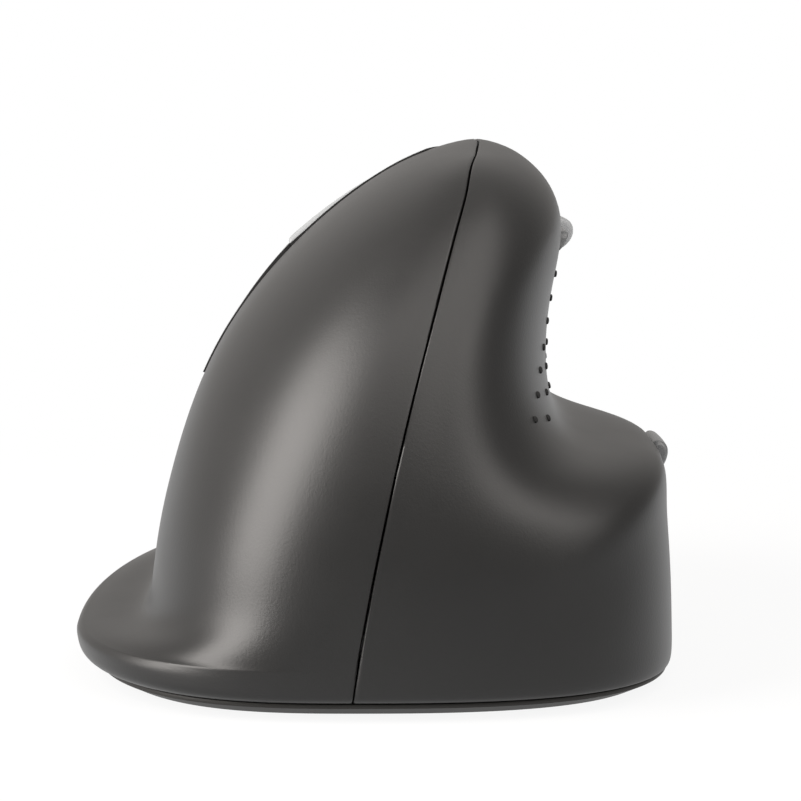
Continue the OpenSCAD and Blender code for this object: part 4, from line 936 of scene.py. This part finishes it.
def placedSet(name, points, shapeMesh, finish, facing=None):
    facing = [(0, 0, 1)] * len(points) if facing is None else facing
    marks = bpy.data.meshes.new(name)
    marks.from_pydata([tuple(np.asarray(p) * mm) for p in points], [], [])
    marks.attributes.new("facing", "FLOAT_VECTOR", "POINT").data.foreach_set("vector",
        np.asarray(facing, np.float32).ravel())
    shape = newObject(name + "Shape", shapeMesh)
    obj = grown(name, marks, onMarks, Shape=shape, Size=1.0, Finish=finish)
    bpy.data.objects.remove(shape)
    bpy.data.meshes.remove(shapeMesh)
    return obj


gripNubs = {"rows": [(55, -9, 1), (51.8, -10, 1), (48.9, -13, 1), (45.7, -18.5, 2), (42.9, -24, 3), (39.8, -29.3, 4),
        (36.8, -35.8, 2)], "pitch": 13, "fall": 0.25, "sides": 14, "crease": 60,
    "profile": [(0, -0.9), (0.48, -0.9), (0.5, -0.8), (0.5, 0.1), (0.48, 0.18), (0.4, 0.25), (0.26, 0.288), (0, 0.3)]}
nubTurns = [first + k * gripNubs["pitch"] for _, first, count in gripNubs["rows"] for k in range(count)]
nubRises = [riseAt("right", z - k * gripNubs["fall"]) for z, _, count in gripNubs["rows"] for k in range(count)]
nubPlaces = onBody(nubTurns, nubRises, 1)
nubFacing = nubPlaces - onBody(nubTurns, nubRises, 1, wall)
nubs = placedSet("gripNubs", nubPlaces, turnedShape("nub", gripNubs["profile"], gripNubs["sides"]),
    finishes["wheelRubber"], nubFacing)
piece(smoothed(nubs, gripNubs["crease"]), "grip_nubs")

glideFeet = {"places": [(-24, -30, 0), (24, -34, 0), (-10, 48, 0), (14, 46, 0)], "sides": 48, "crease": 35,
    "profile": [(0, 0), (4.2, 0), (4.5, 0.03), (4.72, 0.12), (4.95, 0.28), (5, 0.4), (5, 0.5), (0, 0.5)]}
feet = placedSet("glideFeet", glideFeet["places"], turnedShape("foot", glideFeet["profile"], glideFeet["sides"]),
    finishes["footSlick"])
piece(smoothed(feet, glideFeet["crease"]), "glide_feet")

wheelRing = {"place": (0.52428, 25.5732, -10.6736), "radius": 9, "halfWidth": 3.5, "thick": 2.2, "shoulder": 1.2,
    "ribs": 40, "rib": 0.5, "arc": (0, 18, 36, 54, 72, 90), "crown": 5, "crease": 50, "merge": 0.00001,
    "cuts": (-0.5, -0.44, -0.37, -0.31, -0.25, -0.12, 0, 0.12, 0.25, 0.31, 0.37, 0.44, 0.5)}
wheelFrame = slopeFrame @ Matrix.Translation(Vector(wheelRing["place"]) * mm)


def makeTyre():
    w = wheelRing
    half, shoulder, radius = w["halfWidth"], w["shoulder"], w["radius"]
    left = [(-half, radius - w["thick"])]
    left += [(-half + shoulder * (1 - math.cos(a)), radius - shoulder * (1 - math.sin(a)))
        for a in (math.radians(degrees) for degrees in w["arc"])]
    crown = [(x, radius) for x in np.linspace(-half + shoulder, half - shoulder, w["crown"])[1:-1]]
    profile = left + crown + [(-x, r) for x, r in left[::-1]]
    pitch = 2 * math.pi / w["ribs"]
    bm = bmesh.new()
    rows = []
    for k in w["cuts"]:
        away = radius * pitch * (0.5 - abs(k))
        floor = radius - math.sqrt(max(0, w["rib"] ** 2 - away ** 2))
        angle = pitch * k
        rows.append([bm.verts.new(Vector((x, -min(r, floor) * math.sin(angle), min(r, floor) * math.cos(angle))) * mm)
            for x, r in profile])
    joinRings(bm, rows)
    obj = grown("wheelTyre", fromBmesh("tyreSegment", bm), roundAxle, Count=w["ribs"], Merge=w["merge"],
        Finish=finishes["wheelRubber"])
    obj.data.transform(wheelFrame)
    bm = bmesh.new()
    bm.from_mesh(obj.data)
    bmesh.ops.recalc_face_normals(bm, faces=bm.faces)
    bm.to_mesh(obj.data)
    bm.free()
    return smoothed(obj, w["crease"])


piece(makeTyre(), "wheel_tyre", "wheel")

wheelHub = {"rim": 6.8, "rimThick": 1.4, "web": 1.5, "boss": 3.0, "axle": 1.25, "left": -10.0, "right": 6.0,
    "round": 0.25, "tip": 0.15, "sides": 64, "crease": 35}


def makeHub():
    h, half, r = wheelHub, wheelRing["halfWidth"], wheelHub["round"]
    inner, boss, web, axle = h["rim"] - h["rimThick"], h["boss"], h["web"], h["axle"]
    side = [(axle, half), (boss - r, half), (boss, half - r), (boss, web + r), (boss + r, web), (inner - r, web),
        (inner, web + r), (inner, half - r), (inner + r, half), (h["rim"], half)]
    profile = [(0, h["left"]), (axle - h["tip"], h["left"]), (axle, h["left"] + h["tip"])]
    profile += [(a, -b) for a, b in side] + side[::-1]
    profile += [(axle, h["right"] - h["tip"]), (axle - h["tip"], h["right"]), (0, h["right"])]
    mesh = turnedShape("wheelHub", profile, h["sides"])
    mesh.transform(wheelFrame @ Matrix.Rotation(math.pi / 2, 4, "Y"))
    mesh.materials.append(finishes["hubPlastic"])
    return smoothed(newObject("wheelHub", mesh), h["crease"])


piece(makeHub(), "wheel_hub", "wheel")

screwShape = {"head": 1.9, "socket": 0.95, "socketDeep": 0.45, "socketEdge": 0.08, "headHigh": 0.9, "shank": 1.0,
    "headEdge": ((0.3, 0), (0.12, 0.06), (0, 0.25)), "seat": 1.6, "pitch": 0.4, "threadDeep": 0.14, "threadEnd": 1.0,
    "tip": ((0.9, 0.6), (0.55, 0)), "sides": 24, "crease": 30}


def screwMesh(length):
    s = screwShape
    top, bottom, r, shank, socket = s["seat"], s["seat"] - s["headHigh"], s["head"], s["shank"], s["socket"]
    deep, edge = bottom + s["socketDeep"], s["socketEdge"]
    profile = [(0, deep), (socket, deep), (socket, bottom + edge), (socket + edge, bottom),
        *((r - inward, bottom + up) for inward, up in s["headEdge"]), (r, top), (shank, top)]
    z, end = top + s["pitch"], top + length
    while z < end - s["threadEnd"]:  # thread, as rings close together
        profile += [(shank, z), (shank - s["threadDeep"], z + s["pitch"] / 2)]
        z += s["pitch"]
    profile += [*((shank * share, end - short) for share, short in s["tip"]), (0, end)]
    return turnedShape("screw", profile, s["sides"])


for node, places, length in (("base_screws", coverScrews, 8), ("frame_screws", frameScrews, 7)):
    screws = placedSet(node.replace("_s", "S"), [(x, y, 0) for x, y in places], screwMesh(length),
        finishes["brightSteel"])
    piece(smoothed(screws, screwShape["crease"]), node)


# charge port: a drawn steel shell with a tongue inside

chargePort = {"x": -2.22, "front": 55.8046, "low": 8.6, "width": 9, "height": 3.2, "length": 10, "sheet": 0.3,
    "corner": 1.3, "cornerSteps": 6, "lip": ((0, 0.12), (0.1, 0), (0.22, 0), (0.3, 0.1)), "back": 1.5,
    "tongue": (6.2, 0.7, 6.0), "tongueRound": (0.2, 3), "tongueBack": (1.6, 0.3), "crease": 35}


def makePort():
    p = chargePort
    middle = Vector((p["x"], p["front"], p["low"] + p["height"] / 2)) * mm
    place = Matrix.Translation(middle) @ Matrix.Rotation(math.pi / 2, 4, "X")
    w, h = p["width"] / 2, p["height"] / 2
    rows = [(0, p["length"]), *p["lip"], (p["sheet"], p["length"] - p["back"])]
    bm = bmesh.new()
    loops = [addRing(bm, roundBox(inset - w, w - inset, inset - h, h - inset, p["corner"] - inset, p["cornerSteps"]), z,
        place) for inset, z in rows]
    bm.faces.new(loops[0])
    bm.faces.new(loops[-1])
    joinRings(bm, loops)
    wide, high, long = p["tongue"]
    back = p["length"] - p["tongueBack"][0]
    addProfile(bm, roundBox(-wide / 2, wide / 2, -high / 2, high / 2, *p["tongueRound"]), back - long,
        back + p["tongueBack"][1], place)
    bmesh.ops.recalc_face_normals(bm, faces=bm.faces)
    return smoothed(newObject("chargePort", fromBmesh("chargePort", bm, finishes["brightSteel"])), p["crease"])


piece(makePort(), "charge_port")


# pieces kept from the frame get their finish only

keptFinish = {
    "plateMatt": ("inner_frame", "battery_tray", "wheel_carrier"),
    "hubPlastic": ("power_slider",),
    "brightSteel": ("key_pivot_rod", "side_screws", "speed_screws"),
    "boardMask": ("main_board", "key_board", "side_board", "speed_board"),
    "switchBlack": ("index_switch", "middle_switch", "wheel_switch", "forward_switch", "back_switch", "speed_switch",
        "wheel_encoder", "board_chips", "optical_sensor", "power_switch"),
    "plungerPale": ("index_plunger", "middle_plunger", "wheel_plunger", "forward_plunger", "back_plunger",
        "speed_plunger"),
    "lensClear": ("sensor_lens",),
    "cellFoil": ("battery",),
}
for finish, names in keptFinish.items():
    for name in names:
        nodes[name].data.materials.clear()
        nodes[name].data.materials.append(finishes[finish])
print("inner pieces finished")


# floor, light and camera

studio = {"floor": 3.0, "floorColour": (0.6, 0.6, 0.6), "floorRough": 0.9, "whiteShare": (0.9, 1.0),
    "whiteReach": (0.08, 0.2), "fill": (0.36, 0.66), "fillFacing": (0.2, 1.05), "fillLeft": 0.55,
    "fillColour": (1.0, 0.965, 0.93), "lampColour": (1.0, 0.96, 0.925), "aim": (0, 0, 0.035),
    "lamps": [
        {"name": "tallLamp", "azimuth": -69, "elevation": 29.5, "distance": 0.75, "size": (0.54, 0.8), "power": 14.2},
        {"name": "topLamp", "azimuth": 42, "elevation": 62, "distance": 0.7, "size": (0.74, 0.74), "power": 4.4},
        {"name": "sideLamp", "azimuth": 62, "elevation": 27, "distance": 0.75, "size": (0.36, 0.4), "power": 0.9},
    ]}
camera = {"elevation": 9.0, "distance": 0.7, "height": 0.036, "back": 0.0009, "pixelsPerMm": 6.89, "frame": 801,
    "centre": (375.0, 392.6), "sensor": 36.0}


def seenRays(tree):
    path = tree.nodes.new("ShaderNodeLightPath")
    seen = calc(tree, "MAXIMUM", path.outputs["Is Camera Ray"], path.outputs["Is Glossy Ray"])
    return calc(tree, "MAXIMUM", seen, path.outputs["Is Transmission Ray"])


def makeFloor():
    size = studio["floor"]
    mesh = bpy.data.meshes.new("floor")
    mesh.from_pydata([(-size, -size, 0), (size, -size, 0), (size, size, 0), (-size, size, 0)], [], [(0, 1, 2, 3)])
    material = bpy.data.materials.new("floorPale")
    material.use_nodes = True
    tree = material.node_tree
    shader = tree.nodes["Principled BSDF"]
    shader.inputs["Base Color"].default_value = (*studio["floorColour"], 1)
    shader.inputs["Roughness"].default_value = studio["floorRough"]
    shader.inputs["Specular IOR Level"].default_value = 0.0
    glow = tree.nodes.new("ShaderNodeEmission")
    mix = tree.nodes.new("ShaderNodeMixShader")
    place = tree.nodes.new("ShaderNodeTexCoord").outputs["Object"]
    reach = tree.nodes.new("ShaderNodeVectorMath")
    reach.operation = "LENGTH"
    tree.links.new(place, reach.inputs[0])
    share = mapped(tree, reach.outputs["Value"], studio["whiteReach"], studio["whiteShare"])
    share.interpolation_type = "SMOOTHSTEP"
    tree.links.new(calc(tree, "MULTIPLY", seenRays(tree), share.outputs["Result"]), mix.inputs[0])
    tree.links.new(shader.outputs[0], mix.inputs[1])
    tree.links.new(glow.outputs[0], mix.inputs[2])
    tree.links.new(mix.outputs[0], tree.nodes["Material Output"].inputs["Surface"])
    mesh.materials.append(material)
    return newObject("floor", mesh)


makeFloor()

world = bpy.data.worlds.new("studioWhite")
world.use_nodes = True
scene.world = world
background = world.node_tree.nodes["Background"]
background.inputs["Color"].default_value = (*studio["fillColour"], 1)
sky = world.node_tree
facing = step(sky, "ShaderNodeSeparateXYZ", Vector=sky.nodes.new("ShaderNodeTexCoord").outputs["Generated"])
towards = calc(sky, "MULTIPLY_ADD", facing.outputs["X"], -studio["fillLeft"], facing.outputs["Y"])
glow = mapped(sky, towards, studio["fillFacing"], studio["fill"])
sky.links.new(glow.outputs["Result"], background.inputs["Strength"])

for setting in studio["lamps"]:
    lamp = bpy.data.lights.new(setting["name"], "AREA")
    lamp.energy = setting["power"]
    lamp.color = studio["lampColour"]
    lamp.shape = "RECTANGLE"
    lamp.size, lamp.size_y = setting["size"]
    lampObject = bpy.data.objects.new(lamp.name, lamp)
    scene.collection.objects.link(lampObject)
    azimuth, elevation = math.radians(setting["azimuth"]), math.radians(setting["elevation"])
    level = math.cos(elevation)
    away = Vector((math.sin(azimuth) * level, -math.cos(azimuth) * level, math.sin(elevation)))
    lampObject.location = Vector(studio["aim"]) + away * setting["distance"]
    lampObject.rotation_euler = away.to_track_quat("Z", "Y").to_euler()

tilt = math.radians(camera["elevation"])
lens = bpy.data.cameras.new("photoCamera")
lens.sensor_width = camera["sensor"]
lens.lens = camera["pixelsPerMm"] * camera["distance"] / mm * camera["sensor"] / camera["frame"]
lens.shift_x = (camera["frame"] / 2 - camera["centre"][0]) / camera["frame"]
lens.shift_y = -(camera["frame"] / 2 - camera["centre"][1]) / camera["frame"]
cameraObject = bpy.data.objects.new("photoCamera", lens)
scene.collection.objects.link(cameraObject)
cameraObject.location = (0, -math.cos(tilt) * camera["distance"] - camera["back"],
    camera["height"] + math.sin(tilt) * camera["distance"])
cameraObject.rotation_euler = (math.pi / 2 - tilt, 0, 0)
scene.camera = cameraObject
scene.view_settings.view_transform = "Standard"
print("stage set")
